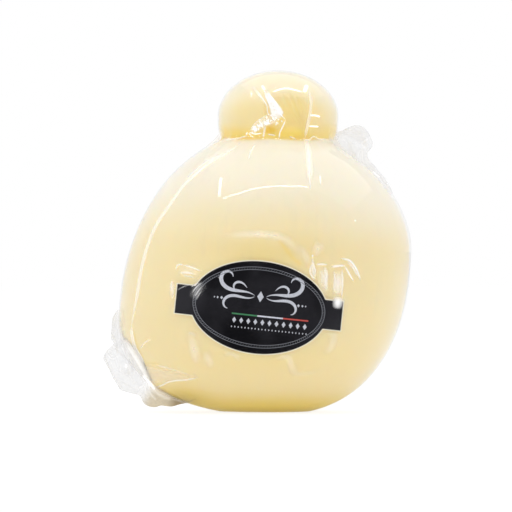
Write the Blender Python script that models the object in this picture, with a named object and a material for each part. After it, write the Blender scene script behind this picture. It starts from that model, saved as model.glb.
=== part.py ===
"""A scamorza: a ball of stretched curd with a knotted head, shrunk into clear film, with a paper label on its front.

Metres, +Z up, the front with the label towards -Y. The origin is the middle of the flat spot that it rests on.
"""

import math

import bmesh
import bpy
import numpy as np

MM = 0.001

# The ball. Its right flank is fullest high up and its left flank low down, as a hung cheese sags when it is laid.
BALL_TOP = 115.5 * MM
BALL_BOTTOM = -1.6 * MM
BALL_HALF_WIDTH = 59.2 * MM
BALL_HALF_DEPTH = 54.5 * MM
LEFT_FULLNESS = 3.0 * MM
BELLY_HEIGHT = 52.0 * MM
BELLY_TILT = 13.5 * MM
SHOULDER_POWER = 2.0
SHOULDER_POWER_TILT = -0.2
FOOT_POWER = 2.32
FOOT_POWER_TILT = 0.13

# The knotted head and the neck that the film bridges.
HEAD_OFFSET = 4.1 * MM
HEAD_HEIGHT = 120.8 * MM
HEAD_TOP = 139.8 * MM
HEAD_BOTTOM = 102.5 * MM
HEAD_HALF_WIDTH = 24.6 * MM
HEAD_HALF_DEPTH = 22.6 * MM
HEAD_UNDER_POWER = 2.6
NECK_HEIGHT = 111.5 * MM
NECK_BRIDGE = 8.0 * MM

# The fold in the front of the head, under its hood.
FOLD_DEPTH = 3.4 * MM
FOLD_CENTRE = 7.4 * MM
FOLD_HALF_WIDTH = 8.2 * MM
FOLD_HOOD = 130.8 * MM
FOLD_HOOD_SOFTNESS = 2.4 * MM
FOLD_FOOT = 106.0 * MM
CLEFT_DEPTH = 3.0 * MM
CLEFT_CENTRE = (1.4 * MM, 115.0 * MM)
CLEFT_RADIUS = 4.2 * MM

# The dent that the label lies in, with a lip along its top.
DENT_DEPTH = 3.2 * MM
DENT_CENTRE = -4.0 * MM
DENT_HALF_WIDTH = 38.0 * MM
DENT_LIP = 70.0 * MM
DENT_LIP_SOFTNESS = 7.0 * MM
DENT_FOOT = 22.0 * MM
DENT_FOOT_SOFTNESS = 18.0 * MM

# The film's corners, as wavy flaps given in polar form about a centre inside the ball. A rim's corners are given
# as degrees and how far they stand out past the flap's root circle, in millimetres.
FLAP_THICKNESS = 1.5 * MM
FLAP_RIM_THICKNESS = 0.8 * MM
FLAP_BURIED = 5.0 * MM
LOW_FLAP_CENTRE = (-25.0 * MM, 42.0 * MM)
LOW_FLAP_ROOT = 36.4 * MM
LOW_FLAP_PLANE = -9.0 * MM
LOW_FLAP_SPAN = (180.0, 263.0)
LOW_FLAP_RIM = (
    (180.0, 0.0), (185.0, 2.3), (192.0, 3.4), (197.0, 4.6), (200.5, 3.9), (202.0, 7.3), (205.0, 10.6),
    (210.4, 10.2), (215.0, 10.8), (219.6, 11.5), (223.0, 11.9), (227.7, 9.9), (232.0, 8.1), (236.0, 9.8),
    (239.0, 9.7), (241.7, 9.0), (244.3, 7.0), (250.0, 5.7), (254.0, 3.9), (259.6, 2.1), (263.0, 0.0),
)
HIGH_FLAP_CENTRE = (15.0 * MM, 92.0 * MM)
HIGH_FLAP_ROOT = 21.4 * MM
HIGH_FLAP_PLANE = 3.0 * MM
HIGH_FLAP_SPAN = (-4.0, 66.0)
HIGH_FLAP_RIM = (
    (-4.0, 14.9), (3.0, 12.8), (11.5, 9.9), (20.3, 7.7), (25.5, 7.2), (29.0, 7.9), (30.2, 10.6), (33.4, 12.2),
    (39.8, 13.0), (45.9, 13.2), (49.6, 12.1), (53.2, 9.7), (55.7, 6.8), (60.5, 4.6), (66.0, 2.0),
)
RIM_SOFTNESS = 0.8
FLAP_WAVE = 1.1 * MM

# The label: an oval with a short bar at each end, turned a little clockwise.
LABEL_CENTRE = (-3.7 * MM, 43.5 * MM)
LABEL_OVAL_HALF_WIDTH = 27.9 * MM
LABEL_OVAL_HALF_HEIGHT = 18.9 * MM
LABEL_HALF_LENGTH = 33.8 * MM
LABEL_BAR_HALF_HEIGHT = 6.3 * MM
LABEL_TURN = math.radians(-6.0)
LABEL_GAP = 0.3 * MM
LABEL_THICKNESS = 0.4 * MM

# How finely the surfaces are divided.
SIDES = 60
BALL_ROWS = 34
HEAD_ROWS = 14
FLAP_STEPS = 60
FLAP_RINGS = 5
LABEL_COLUMNS = 44
LABEL_ROWS = 7


def smooth_step(value, start, end):
    """Rises from 0 at start to 1 at end along 3t^2 - 2t^3."""
    t = np.clip((value - start) / (end - start), 0.0, 1.0)
    return t * t * (3.0 - 2.0 * t)


def smooth_max(first, second, bridge):
    """The larger of two values, with their meeting rounded off over the bridge."""
    near = np.clip(1.0 - np.abs(first - second) / bridge, 0.0, 1.0)
    return np.maximum(first, second) + near * near * bridge / 4.0


def egg_curve(height, bottom, widest, top, under_power, over_power):
    """Share of the full width at a height: a superellipse quarter below the widest place and one above it."""
    over = np.clip((height - widest) / (top - widest), 0.0, 1.0)
    under = np.clip((widest - height) / (widest - bottom), 0.0, 1.0)
    above = (1.0 - over**over_power) ** (1.0 / over_power)
    below = (1.0 - under**under_power) ** (1.0 / under_power)
    return np.where(height > widest, above, below)


def axis_offset(height):
    """The ball leans a little to the right, up to the head's centre."""
    return HEAD_OFFSET * smooth_step(height, 0.0, BALL_TOP)


def dent(x, z):
    """Depth of the label's dent: full in its middle, ended above by the lip and fading out below."""
    across = np.exp(-(((x - DENT_CENTRE) / DENT_HALF_WIDTH) ** 4))
    below_lip = 1.0 - smooth_step(z, DENT_LIP - DENT_LIP_SOFTNESS, DENT_LIP + DENT_LIP_SOFTNESS)
    above_foot = smooth_step(z, DENT_FOOT, DENT_FOOT + DENT_FOOT_SOFTNESS)
    return DENT_DEPTH * across * below_lip * above_foot


def head_fold(x, z):
    """Depth of the fold under the head's hood, and of the cleft where its two lobes meet."""
    across = np.exp(-(((x - FOLD_CENTRE) / FOLD_HALF_WIDTH) ** 4))
    below_hood = 1.0 - smooth_step(z, FOLD_HOOD - FOLD_HOOD_SOFTNESS, FOLD_HOOD + FOLD_HOOD_SOFTNESS)
    above_foot = smooth_step(z, FOLD_FOOT, NECK_HEIGHT)
    away = np.hypot(x - CLEFT_CENTRE[0], z - CLEFT_CENTRE[1]) / CLEFT_RADIUS
    return FOLD_DEPTH * across * below_hood * above_foot + CLEFT_DEPTH * np.exp(-(away**2))


def wrapped_surface(height, angle):
    """Points of the film-wrapped form at a height and an angle round it. Angle 0 is +X and -90 degrees the front."""
    turn = np.cos(angle)
    ball = egg_curve(
        height,
        BALL_BOTTOM,
        BELLY_HEIGHT + BELLY_TILT * turn,
        BALL_TOP,
        FOOT_POWER + FOOT_POWER_TILT * turn,
        SHOULDER_POWER + SHOULDER_POWER_TILT * turn,
    )
    head = egg_curve(height, HEAD_BOTTOM, HEAD_HEIGHT, HEAD_TOP, HEAD_UNDER_POWER, 2.0)
    across = (BALL_HALF_WIDTH - LEFT_FULLNESS * turn) * np.cos(angle)
    along = BALL_HALF_DEPTH * np.sin(angle)
    ball_radius = ball * np.hypot(across, along)
    head_radius = head * np.hypot(HEAD_HALF_WIDTH * np.cos(angle), HEAD_HALF_DEPTH * np.sin(angle))
    radius = np.where(
        height < HEAD_HEIGHT, smooth_max(ball_radius, head_radius, NECK_BRIDGE), head_radius
    )
    facing = np.arctan2(along, across)
    x = axis_offset(height) + radius * np.cos(facing)
    y = radius * np.sin(facing)
    front = np.clip(-np.sin(facing), 0.0, 1.0) ** 0.5
    y = y + front * (dent(x, height) + head_fold(x, height))
    return np.stack([x, y, np.broadcast_to(height, x.shape)], axis=-1)


def new_object(name, points, faces, material, collection=None):
    """A smooth-shaded mesh object from points and faces."""
    mesh = bpy.data.meshes.new(name)
    mesh.from_pydata([tuple(point) for point in points], [], faces)
    mesh.shade_smooth()
    mesh.materials.append(material)
    made = bpy.data.objects.new(name, mesh)
    (collection or bpy.context.scene.collection).objects.link(made)
    return made


def plain_material(name, colour, roughness):
    """A Principled material with one colour and one roughness, and no metal."""
    material = bpy.data.materials.new(name)
    material.use_nodes = True
    shader = material.node_tree.nodes["Principled BSDF"]
    shader.inputs["Base Color"].default_value = (*colour, 1.0)
    shader.inputs["Roughness"].default_value = roughness
    shader.inputs["Metallic"].default_value = 0.0
    return material


def bands(rows, columns, first, wrap):
    """Quads between neighbouring rows of a grid whose points are numbered row by row from first."""
    faces = []
    for row in range(rows - 1):
        for column in range(columns if wrap else columns - 1):
            after = (column + 1) % columns
            low = first + row * columns
            high = low + columns
            faces.append((low + column, low + after, high + after, high + column))
    return faces


def fan(tip, ring, outwards):
    """Triangles from a tip to a closed ring of points."""
    pairs = list(zip(ring, ring[1:] + ring[:1]))
    return [(tip, a, b) if outwards else (tip, b, a) for a, b in pairs]


def wrapped_form(material, collection):
    """The ball and head as one closed surface of level rings, cut flat at the foot."""
    ball_heights = NECK_HEIGHT * (1.0 - np.cos(np.linspace(0.0, math.pi, BALL_ROWS))) / 2.0
    head_rise = (1.0 - np.cos(np.linspace(0.0, math.pi, HEAD_ROWS))) / 2.0
    head_heights = NECK_HEIGHT + (HEAD_TOP - NECK_HEIGHT) * head_rise[1:-1]
    heights = np.concatenate([ball_heights, head_heights])
    angles = np.arange(SIDES) * 2.0 * math.pi / SIDES
    rings = wrapped_surface(heights[:, None], angles[None, :]).reshape(-1, 3)
    foot = [0.0, 0.0, 0.0]
    crown = [HEAD_OFFSET, 0.0, HEAD_TOP]
    points = np.vstack([rings, foot, crown])
    count = len(heights) * SIDES
    faces = bands(len(heights), SIDES, 0, wrap=True)
    faces += fan(count, list(range(SIDES)), outwards=False)
    faces += fan(count + 1, list(range(count - SIDES, count)), outwards=True)
    return new_object("scamorza", points, faces, material, collection)


def rim_reach(degrees, rim):
    """How far a flap stands out at each angle: straight between its corners, which are rounded over RIM_SOFTNESS."""
    places, values = np.transpose(rim)
    near = [np.interp(degrees + shift, places, values) for shift in np.linspace(-RIM_SOFTNESS, RIM_SOFTNESS, 5)]
    return np.mean(near, axis=0) * MM


def flap(name, centre, root, plane, span, rim, material, collection):
    """A corner of the film: a closed wavy sheet whose inner edge is buried in the ball."""
    degrees = np.linspace(*span, FLAP_STEPS)[None, :]
    share = np.linspace(0.0, 1.0, FLAP_RINGS)[:, None]
    inner = root - FLAP_BURIED
    radius = inner + (FLAP_BURIED + rim_reach(degrees, rim)) * share
    turn = np.radians(degrees)
    x = centre[0] + radius * np.cos(turn)
    z = centre[1] + radius * np.sin(turn)
    wave = FLAP_WAVE * share * (np.sin(degrees / 5.0) + 0.6 * np.sin(degrees / 2.3 + 4.0 * share))
    half = (FLAP_THICKNESS + (FLAP_RIM_THICKNESS - FLAP_THICKNESS) * share) / 2.0
    front = np.stack([x, plane + wave - half, z], axis=-1)
    back = np.stack([x, plane + wave + half, z], axis=-1)
    points = np.vstack([front.reshape(-1, 3), back.reshape(-1, 3)])
    return new_object(name, points, closed_sheet(FLAP_RINGS, FLAP_STEPS), material, collection)


def closed_sheet(rows, columns):
    """Faces of a thin body: its front grid, its back grid and the wall round their edges."""
    half = rows * columns
    front = bands(rows, columns, 0, wrap=False)
    back = [tuple(reversed(face)) for face in bands(rows, columns, half, wrap=False)]
    bottom = list(range(columns))
    right = [row * columns + columns - 1 for row in range(rows)]
    top = list(range((rows - 1) * columns, half))[::-1]
    left = [row * columns for row in range(rows)][::-1]
    edge = bottom[:-1] + right[:-1] + top[:-1] + left[:-1]
    wall = [(b, a, a + half, b + half) for a, b in zip(edge, edge[1:] + edge[:1])]
    return front + back + wall


def face_outwards(made):
    """Turns the faces of a closed mesh to point out."""
    shape = bmesh.new()
    shape.from_mesh(made.data)
    bmesh.ops.recalc_face_normals(shape, faces=shape.faces)
    shape.to_mesh(made.data)
    shape.free()


def fuse(body, collection):
    """Joins the other objects of a collection to the body, and removes them."""
    join = body.modifiers.new("flaps", "BOOLEAN")
    join.operation = "UNION"
    join.operand_type = "COLLECTION"
    join.solver = "EXACT"
    join.collection = collection
    bpy.context.view_layer.update()
    joined = bpy.data.meshes.new_from_object(body.evaluated_get(bpy.context.evaluated_depsgraph_get()))
    body.modifiers.clear()
    body.data = joined
    for other in list(collection.objects):
        bpy.data.objects.remove(other, do_unlink=True)
    bpy.data.collections.remove(collection)


def label_half_height(along):
    """Half the label's height at a distance along it: the oval, and the bars past it."""
    oval = np.sqrt(np.clip(1.0 - (along / LABEL_OVAL_HALF_WIDTH) ** 2, 0.0, 1.0))
    return np.maximum(LABEL_OVAL_HALF_HEIGHT * oval, LABEL_BAR_HALF_HEIGHT)


def front_depth(x, z):
    """The wrapped form's y on its front, found by stepping the angle until the surface is at x."""
    angle = np.full(x.shape, -math.pi / 2.0)
    for _ in range(30):
        at = wrapped_surface(z, angle)
        angle = angle + (x - at[..., 0]) / BALL_HALF_WIDTH
    return wrapped_surface(z, angle)[..., 1]


def label(material):
    """The paper label: a thin sheet that follows the wrapped form a hair in front of it."""
    along = LABEL_HALF_LENGTH * np.sin(np.linspace(-math.pi / 2.0, math.pi / 2.0, LABEL_COLUMNS))[None, :]
    up = label_half_height(along) * np.linspace(-1.0, 1.0, LABEL_ROWS)[:, None]
    along = np.broadcast_to(along, up.shape)
    x = LABEL_CENTRE[0] + along * math.cos(LABEL_TURN) - up * math.sin(LABEL_TURN)
    z = LABEL_CENTRE[1] + along * math.sin(LABEL_TURN) + up * math.cos(LABEL_TURN)
    step = 0.5 * MM
    y = front_depth(x, z)
    slope_x = (front_depth(x + step, z) - front_depth(x - step, z)) / (2.0 * step)
    slope_z = (front_depth(x, z + step) - front_depth(x, z - step)) / (2.0 * step)
    normal = np.stack([slope_x, -np.ones_like(y), slope_z], axis=-1)
    normal /= np.linalg.norm(normal, axis=-1, keepdims=True)
    under = np.stack([x, y, z], axis=-1) + normal * LABEL_GAP
    over = under + normal * LABEL_THICKNESS
    points = np.vstack([over.reshape(-1, 3), under.reshape(-1, 3)])
    return new_object("label", points, closed_sheet(LABEL_ROWS, LABEL_COLUMNS), material)


for leftover in list(bpy.data.objects):
    bpy.data.objects.remove(leftover, do_unlink=True)

curd_in_film = plain_material("curd_in_film", (0.91, 0.79, 0.52), 0.22)
label_paper = plain_material("label_paper", (0.016, 0.015, 0.021), 0.4)

flaps = bpy.data.collections.new("flaps")
bpy.context.scene.collection.children.link(flaps)
scamorza = wrapped_form(curd_in_film, bpy.context.scene.collection)
low_flap = flap(
    "low_flap",
    LOW_FLAP_CENTRE,
    LOW_FLAP_ROOT,
    LOW_FLAP_PLANE,
    LOW_FLAP_SPAN,
    LOW_FLAP_RIM,
    curd_in_film,
    flaps,
)
high_flap = flap(
    "high_flap",
    HIGH_FLAP_CENTRE,
    HIGH_FLAP_ROOT,
    HIGH_FLAP_PLANE,
    HIGH_FLAP_SPAN,
    HIGH_FLAP_RIM,
    curd_in_film,
    flaps,
)
front_label = label(label_paper)
for closed_body in (scamorza, low_flap, high_flap, front_label):
    face_outwards(closed_body)
fuse(scamorza, flaps)
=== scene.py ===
import math

import bpy
import numpy as np
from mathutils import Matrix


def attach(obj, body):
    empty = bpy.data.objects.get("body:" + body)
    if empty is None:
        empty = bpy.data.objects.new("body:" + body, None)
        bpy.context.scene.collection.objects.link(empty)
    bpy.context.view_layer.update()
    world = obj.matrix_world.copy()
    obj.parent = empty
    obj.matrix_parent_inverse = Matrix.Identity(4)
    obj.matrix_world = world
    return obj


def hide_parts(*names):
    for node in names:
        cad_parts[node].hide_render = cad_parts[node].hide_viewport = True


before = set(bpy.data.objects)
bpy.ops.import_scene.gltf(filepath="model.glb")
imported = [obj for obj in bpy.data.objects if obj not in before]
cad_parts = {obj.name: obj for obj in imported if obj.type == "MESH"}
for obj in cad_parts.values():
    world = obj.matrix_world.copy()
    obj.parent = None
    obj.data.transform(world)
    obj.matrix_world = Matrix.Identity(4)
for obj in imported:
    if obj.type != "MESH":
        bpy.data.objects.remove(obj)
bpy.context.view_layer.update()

# The curd ball.
# One lump of stretched curd, pulled smooth by hand and set in brine. It leans a little towards its right, it
# is fullest low down on its left, and the label's paper has pressed a shallow dent into its front.
MM = 0.001
TINY = 1e-12
BALL_TOP = 115.5
BALL_BOTTOM = -1.6
BALL_HALF_WIDTH = 59.2
BALL_HALF_DEPTH = 54.5
LEFT_FULLNESS = 3.0
BELLY_HEIGHT = 52.0
BELLY_TILT = 13.5
SHOULDER_POWER = 2.0
SHOULDER_POWER_TILT = -0.2
FOOT_POWER = 2.32
FOOT_POWER_TILT = 0.13
CORNER_PULL = 3.4
CORNER_PULL_HEIGHT = 8.5
CORNER_PULL_SIZE = 3.4
CORNER_PULL_ANGLE = 0.45
FLAT_SPOT_EDGE = 3.0
HEAD_OFFSET = 4.1
DENT_DEPTH = 3.2
DENT_CENTRE = -4.0
DENT_HALF_WIDTH = 38.0
DENT_LIP = 70.0
DENT_LIP_SOFTNESS = 7.0
DENT_FOOT = 22.0
DENT_FOOT_SOFTNESS = 18.0
CURD_INSET = 0.3
SHOULDER_GAP = 0.7
CURD_WAVINESS = 0.12
CURD_WAVE_LENGTH = 48.0
CURD_WAVE_SEED = 3
WAVE_COUNT = 6
# The curd's own colour is the body colour; the others paint light and shade into it. The paler cream is a
# painted highlight where light falls on the upper ball, its right side and the head's crown and sides. The
# deeper yellow is painted shade in folds, hollows and under the head. The dull yellow is painted shade near
# the floor, and the dark olive is a painted contact shadow.
CURD_PAINTED_HIGHLIGHT = (0.965, 0.87, 0.70, 1.0)
CURD_BODY = (0.945, 0.785, 0.455, 1.0)
CURD_PAINTED_SHADE = (0.97, 0.69, 0.10, 1.0)
CURD_FOOT_SHADE = (0.86, 0.66, 0.11, 1.0)
CURD_CONTACT_SHADOW = (0.60, 0.43, 0.07, 1.0)


def smooth_step(value, start, end):
    """Rises from 0 at start to 1 at end along 3t^2 - 2t^3."""
    t = np.clip((value - start) / (end - start), 0.0, 1.0)
    return t * t * (3.0 - 2.0 * t)


def egg_curve(height, bottom, widest, top, under_power, over_power):
    """Share of the full width at a height: (1 - t^p)^(1/p), with t the way from the widest place to either
    end."""
    over = np.clip((height - widest) / (top - widest), 0.0, 1.0)
    under = np.clip((widest - height) / (widest - bottom), 0.0, 1.0)
    above = (1.0 - over**over_power) ** (1.0 / over_power)
    below = (1.0 - under**under_power) ** (1.0 / under_power)
    return np.where(height > widest, above, below)


def ball_radius(height, angle):
    """The ball's radius: an oval's radius at the angle times the egg curve, whose belly is highest on the
    right. The bag's low corner has pulled it out on the left by CORNER_PULL exp(-dz^2 - da^2)."""
    turn = np.cos(angle)
    belly = BELLY_HEIGHT + BELLY_TILT * turn
    foot_power = FOOT_POWER + FOOT_POWER_TILT * turn
    shoulder_power = SHOULDER_POWER + SHOULDER_POWER_TILT * turn
    share = egg_curve(height, BALL_BOTTOM, belly, BALL_TOP, foot_power, shoulder_power)
    from_left = np.arctan2(np.sin(angle), -turn) / CORNER_PULL_ANGLE
    pulled = CORNER_PULL * np.exp(-(((height - CORNER_PULL_HEIGHT) / CORNER_PULL_SIZE) ** 2) - from_left**2)
    oval = np.hypot((BALL_HALF_WIDTH - LEFT_FULLNESS * turn) * turn, BALL_HALF_DEPTH * np.sin(angle))
    return share * oval + pulled * smooth_step(height, 0.0, FLAT_SPOT_EDGE)


def dent(x, z):
    """Depth of the label's dent: DENT_DEPTH exp(-(across)^4), ended above by the lip and fading out below."""
    across = np.exp(-(((x - DENT_CENTRE) / DENT_HALF_WIDTH) ** 4))
    below_lip = 1.0 - smooth_step(z, DENT_LIP - DENT_LIP_SOFTNESS, DENT_LIP + DENT_LIP_SOFTNESS)
    above_foot = smooth_step(z, DENT_FOOT, DENT_FOOT + DENT_FOOT_SOFTNESS)
    return DENT_DEPTH * across * below_lip * above_foot


def turned(height, angle, radius, sunk):
    """x = leaning axis + r cos f and y = r sin f, f being the angle on the oval; the front moves in by
    sunk(x, z)."""
    across = (BALL_HALF_WIDTH - LEFT_FULLNESS * np.cos(angle)) * np.cos(angle)
    facing = np.arctan2(BALL_HALF_DEPTH * np.sin(angle), across)
    x = HEAD_OFFSET * smooth_step(height, 0.0, BALL_TOP) + radius * np.cos(facing)
    front = np.clip(-np.sin(facing), 0.0, 1.0) ** 0.5
    y = radius * np.sin(facing) + front * sunk(x, height)
    return np.stack(np.broadcast_arrays(x, y, height), axis=-1)


def waves(points, length, seed):
    """Slow unevenness from -1 to 1: the mean of WAVE_COUNT sine waves through space in random directions."""
    draw = np.random.default_rng(seed)
    directions = draw.normal(size=(WAVE_COUNT, 3))
    directions /= np.linalg.norm(directions, axis=1, keepdims=True)
    phases = points @ (directions.T * (2.0 * math.pi / length)) + draw.uniform(0.0, 2.0 * math.pi, WAVE_COUNT)
    return np.sin(phases).mean(axis=-1)


def swell(grid, amount):
    """Moves a grid of closed rings out along its normals, which are the cross product of its two
    directions."""
    around = np.roll(grid, -1, axis=1) - np.roll(grid, 1, axis=1)
    up = np.gradient(grid, axis=0)
    normal = np.cross(around, up)
    normal /= np.linalg.norm(normal, axis=-1, keepdims=True) + TINY
    return grid + normal * np.asarray(amount)[..., None]


def closed_rings(grid):
    """Points and faces of rings closed all round, with a fan of triangles to the middle of each end ring."""
    rows, columns = grid.shape[:2]
    points = np.vstack([grid.reshape(-1, 3), grid[0].mean(axis=0), grid[-1].mean(axis=0)])
    low = np.arange((rows - 1) * columns).reshape(rows - 1, columns)
    after = np.roll(low, -1, axis=1)
    quads = np.stack([low, after, after + columns, low + columns], axis=-1).reshape(-1, 4)
    first = np.arange(columns)
    last = first + (rows - 1) * columns
    foot = np.stack([np.roll(first, -1), first, np.full(columns, rows * columns)], axis=-1)
    crown = np.stack([last, np.roll(last, -1), np.full(columns, rows * columns + 1)], axis=-1)
    return points, quads.tolist() + foot.tolist() + crown.tolist()


def add_piece(name, points, faces, finish, marks):
    """A smooth object at the origin from points in millimetres, with a number for each point under each
    mark."""
    mesh = bpy.data.meshes.new(name)
    mesh.from_pydata((points * MM).tolist(), [], faces)
    mesh.shade_smooth()
    for mark, values in marks.items():
        layer = mesh.attributes.new(mark, "FLOAT", "POINT")
        layer.data.foreach_set("value", np.ascontiguousarray(values, dtype=np.float32).ravel())
    mesh.materials.append(finish)
    piece = bpy.data.objects.new(name, mesh)
    bpy.context.scene.collection.objects.link(piece)
    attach(piece, "root")
    return piece


class Wire:
    """A shader socket in Python: an expression on it adds the Math nodes that work it out."""

    def __init__(self, tree, socket=None):
        self.tree = tree
        self.socket = socket

    def node(self, kind, settings, inputs, out=0):
        """Adds a node with its settings, then its sockets' values or links, and gives one of its outputs."""
        made = self.tree.nodes.new(kind)
        for name, value in settings.items():
            setattr(made, name, value)
        for place, value in inputs.items():
            if isinstance(value, Wire):
                self.tree.links.new(value.socket, made.inputs[place])
            else:
                made.inputs[place].default_value = value
        return Wire(self.tree, made.outputs[out]) if len(made.outputs) else made

    def math(self, operation, first, second):
        """One Math node on two values."""
        return self.node("ShaderNodeMath", {"operation": operation}, {0: first, 1: second})

    def __add__(self, other):
        return self.math("ADD", self, other)

    __radd__ = __add__

    def __sub__(self, other):
        return self.math("SUBTRACT", self, other)

    def __rsub__(self, other):
        return self.math("SUBTRACT", other, self)

    def __mul__(self, other):
        return self.math("MULTIPLY", self, other)

    __rmul__ = __mul__

    def __pow__(self, other):
        return self.math("POWER", self, other)

    def ramp(self, start, end):
        """0 at start, 1 at end and smooth between them."""
        settings = {"interpolation_type": "SMOOTHSTEP"}
        return self.node("ShaderNodeMapRange", settings, {0: self, 1: start, 2: end, 3: 0.0, 4: 1.0})

    def tint(self, low, high):
        """The colour low where this value is 0 and high where it is 1."""
        return self.node("ShaderNodeMix", {"data_type": "RGBA"}, {0: self, 6: low, 7: high}, out=2)

    def mark(self, name):
        """The number that each point of the mesh carries under a name."""
        return self.node("ShaderNodeAttribute", {"attribute_name": name}, {}, out=2)

    def place(self):
        """Object coordinates, in metres."""
        return self.node("ShaderNodeTexCoord", {}, {}, out=3)

    def noise(self, vector, scale, detail=2.0, rough=0.5):
        """Soft noise from 0 to 1, finer the larger the scale."""
        settings = {"Vector": vector, "Scale": scale, "Detail": detail, "Roughness": rough}
        return self.node("ShaderNodeTexNoise", {}, settings)

    def stretched(self, vector, scale):
        """A place whose three directions are scaled, for a grain that runs one way."""
        return self.node("ShaderNodeMapping", {}, {"Vector": vector, "Scale": scale})

    def bump(self, height, strength, distance):
        """The surface's direction, tilted as if height raised it by up to distance metres."""
        return self.node("ShaderNodeBump", {}, {"Strength": strength, "Distance": distance, "Height": height})

    def principled(self, sockets, **settings):
        """The main surface shader with the values or links of its sockets."""
        return self.node("ShaderNodeBsdfPrincipled", settings, sockets)

    def mixed(self, share, first, second):
        """The first shader where share is 0 and the second where it is 1."""
        return self.node("ShaderNodeMixShader", {}, {0: share, 1: first, 2: second})

    def surface(self, shader):
        """Links a shader to the material's output."""
        self.node("ShaderNodeOutputMaterial", {}, {"Surface": shader})


def new_finish(name):
    """An empty material and the Wire that fills it."""
    material = bpy.data.materials.new(name)
    material.use_nodes = True
    material.node_tree.nodes.clear()
    return material, Wire(material.node_tree)


def curd_finish():
    """Ivory curd with its light and shade painted in: a painted highlight makes it paler where light falls,
    painted shade makes it deeper yellow in its folds and hollows and dull yellow at its foot, and a painted
    contact shadow darkens it lowest down.
    """
    material, wire = new_finish("curd")
    place = wire.place()
    mottle = wire.noise(place, 38.0, 3.0)
    streaks = wire.noise(wire.stretched(place, (90.0, 90.0, 14.0)), 1.0, 2.0)
    # Painted light and shade: the pale mark lightens towards cream as a painted highlight, the foot mark
    # paints shade near the floor, the fold mark paints shade where it falls in folds, hollows and under the
    # head, and the last mark paints a contact shadow low down.
    pale = wire.mark("pale") + (mottle - 0.5) * 0.3 + (streaks - 0.5) * 0.04
    body = pale.ramp(0.0, 1.0).tint(CURD_BODY, CURD_PAINTED_HIGHLIGHT)
    foot_shaded = wire.mark("foot").tint(body, CURD_FOOT_SHADE)
    folded = wire.mark("fold").tint(foot_shaded, CURD_PAINTED_SHADE)
    colour = wire.mark("contact_shadow").tint(folded, CURD_CONTACT_SHADOW)
    pores = wire.noise(place, 900.0, 2.0)
    sockets = {
        "Base Color": colour,
        "Roughness": 0.38 + (mottle - 0.5) * 0.12,
        "Normal": wire.bump(pores * 0.4 + streaks, 0.2, 0.0003),
        "Specular IOR Level": 0.1,
        "Subsurface Weight": 0.5,
        "Subsurface Radius": (1.0, 0.72, 0.35),
        "Subsurface Scale": 0.004,
    }
    wire.surface(wire.principled(sockets, subsurface_method="RANDOM_WALK"))
    return material


# The knotted head.
# The maker pinched the end of the pulled curd, folded it over and tucked it under itself. Its front shows a
# smooth lobe on each side, a hood over the tucked-in middle, and pleats that run down into a deep cleft.
HEAD_HEIGHT = 120.8
HEAD_TOP = 139.8
HEAD_BOTTOM = 102.5
HEAD_HALF_WIDTH = 24.6
HEAD_HALF_DEPTH = 22.6
HEAD_UNDER_POWER = 2.6
NECK_HEIGHT = 111.5
CURD_NECK_BRIDGE = 4.0
TUCK_DEPTH = 1.9
TUCK_LEFT = -0.8
TUCK_RIGHT = 15.0
TUCK_SLANT = 0.12
TUCK_EDGE = 2.6
TUCK_MIDDLE = 7.6
TUCK_FOOT = 110.0
TUCK_FOOT_SOFTNESS = 4.0
TUCK_SHADE = 0.26
HOOD_HEIGHT = 130.0
HOOD_ARCH = 0.03
HOOD_SOFTNESS = 3.0
CLEFT = (1.2, 115.4)
CLEFT_SIZE = (3.6, 1.9)
CLEFT_DEPTH = 0.9
CLEFT_SHADE = 0.9
LIP_RISE = 0.5
LIP_PLACE = 1.0
LIP_WIDTH = 8.0
LIP_BULGE = 0.6
NECK_LINE = NECK_HEIGHT - 0.5
NECK_SIDE_RISE = 2.0
SEAM_DEPTH = 0.8
SEAM_WIDTH = 1.3
SEAM_RIGHT_SHARE = 0.7
SEAM_FADE_TOP = 8.0
SEAM_FADE_FOOT = 5.0
PLEAT_MEETING = (17.5, 110.0)
PLEAT_SPACING = math.radians(7.0)
PLEAT_BEARING = math.radians(-23.0)
PLEAT_SPREAD = math.radians(13.0)
PLEAT_DEPTH = 0.13
PLEAT_FADE = (112.0, 121.0)
PLEAT_SHADE = 0.05
TONGUE = (10.5, 113.8)
TONGUE_SIZE = (7.0, 2.6)
TONGUE_RISE = 1.4
DENT_CREASE = [(4.8, 70.4), (6.9, 67.4), (8.7, 65.0), (10.0, 63.4), (12.6, 61.3)]
DENT_RIM = [(-17.9, 72.0), (-11.7, 72.4), (-4.5, 72.5), (1.1, 72.2), (5.4, 70.8), (9.0, 68.0), (12.2, 64.6)]
FLANK_CREASE = [(-54.7, 31.4), (-53.7, 27.1), (-51.9, 23.3), (-50.2, 20.7), (-45.0, 19.6)]
# Painted shade along creases: amount, path and width. The negative amount lightens the dent's rim as a
# painted highlight.
SHADE_AND_HIGHLIGHT_LINES = ((0.36, DENT_CREASE, 1.0), (0.35, FLANK_CREASE, 1.0), (-0.12, DENT_RIM, 2.4))
# Painted shade in soft spots: amount, centre and size, over the label's dent, below the label and in the low
# left corner.
PAINTED_SHADE_SPOTS = (
    (0.26, (-3.0, 64.5), (21.0, 7.5)),
    (0.10, (0.0, 22.5), (24.0, 5.0)),
    (0.16, (-37.0, 9.5), (9.0, 4.5)),
)
HEAD_SHADE = 0.15
UNDER_HEAD_SHADE = 0.46
UNDER_HEAD_FADE = 8.0
NECK_LINE_SHADE = 0.4
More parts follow.
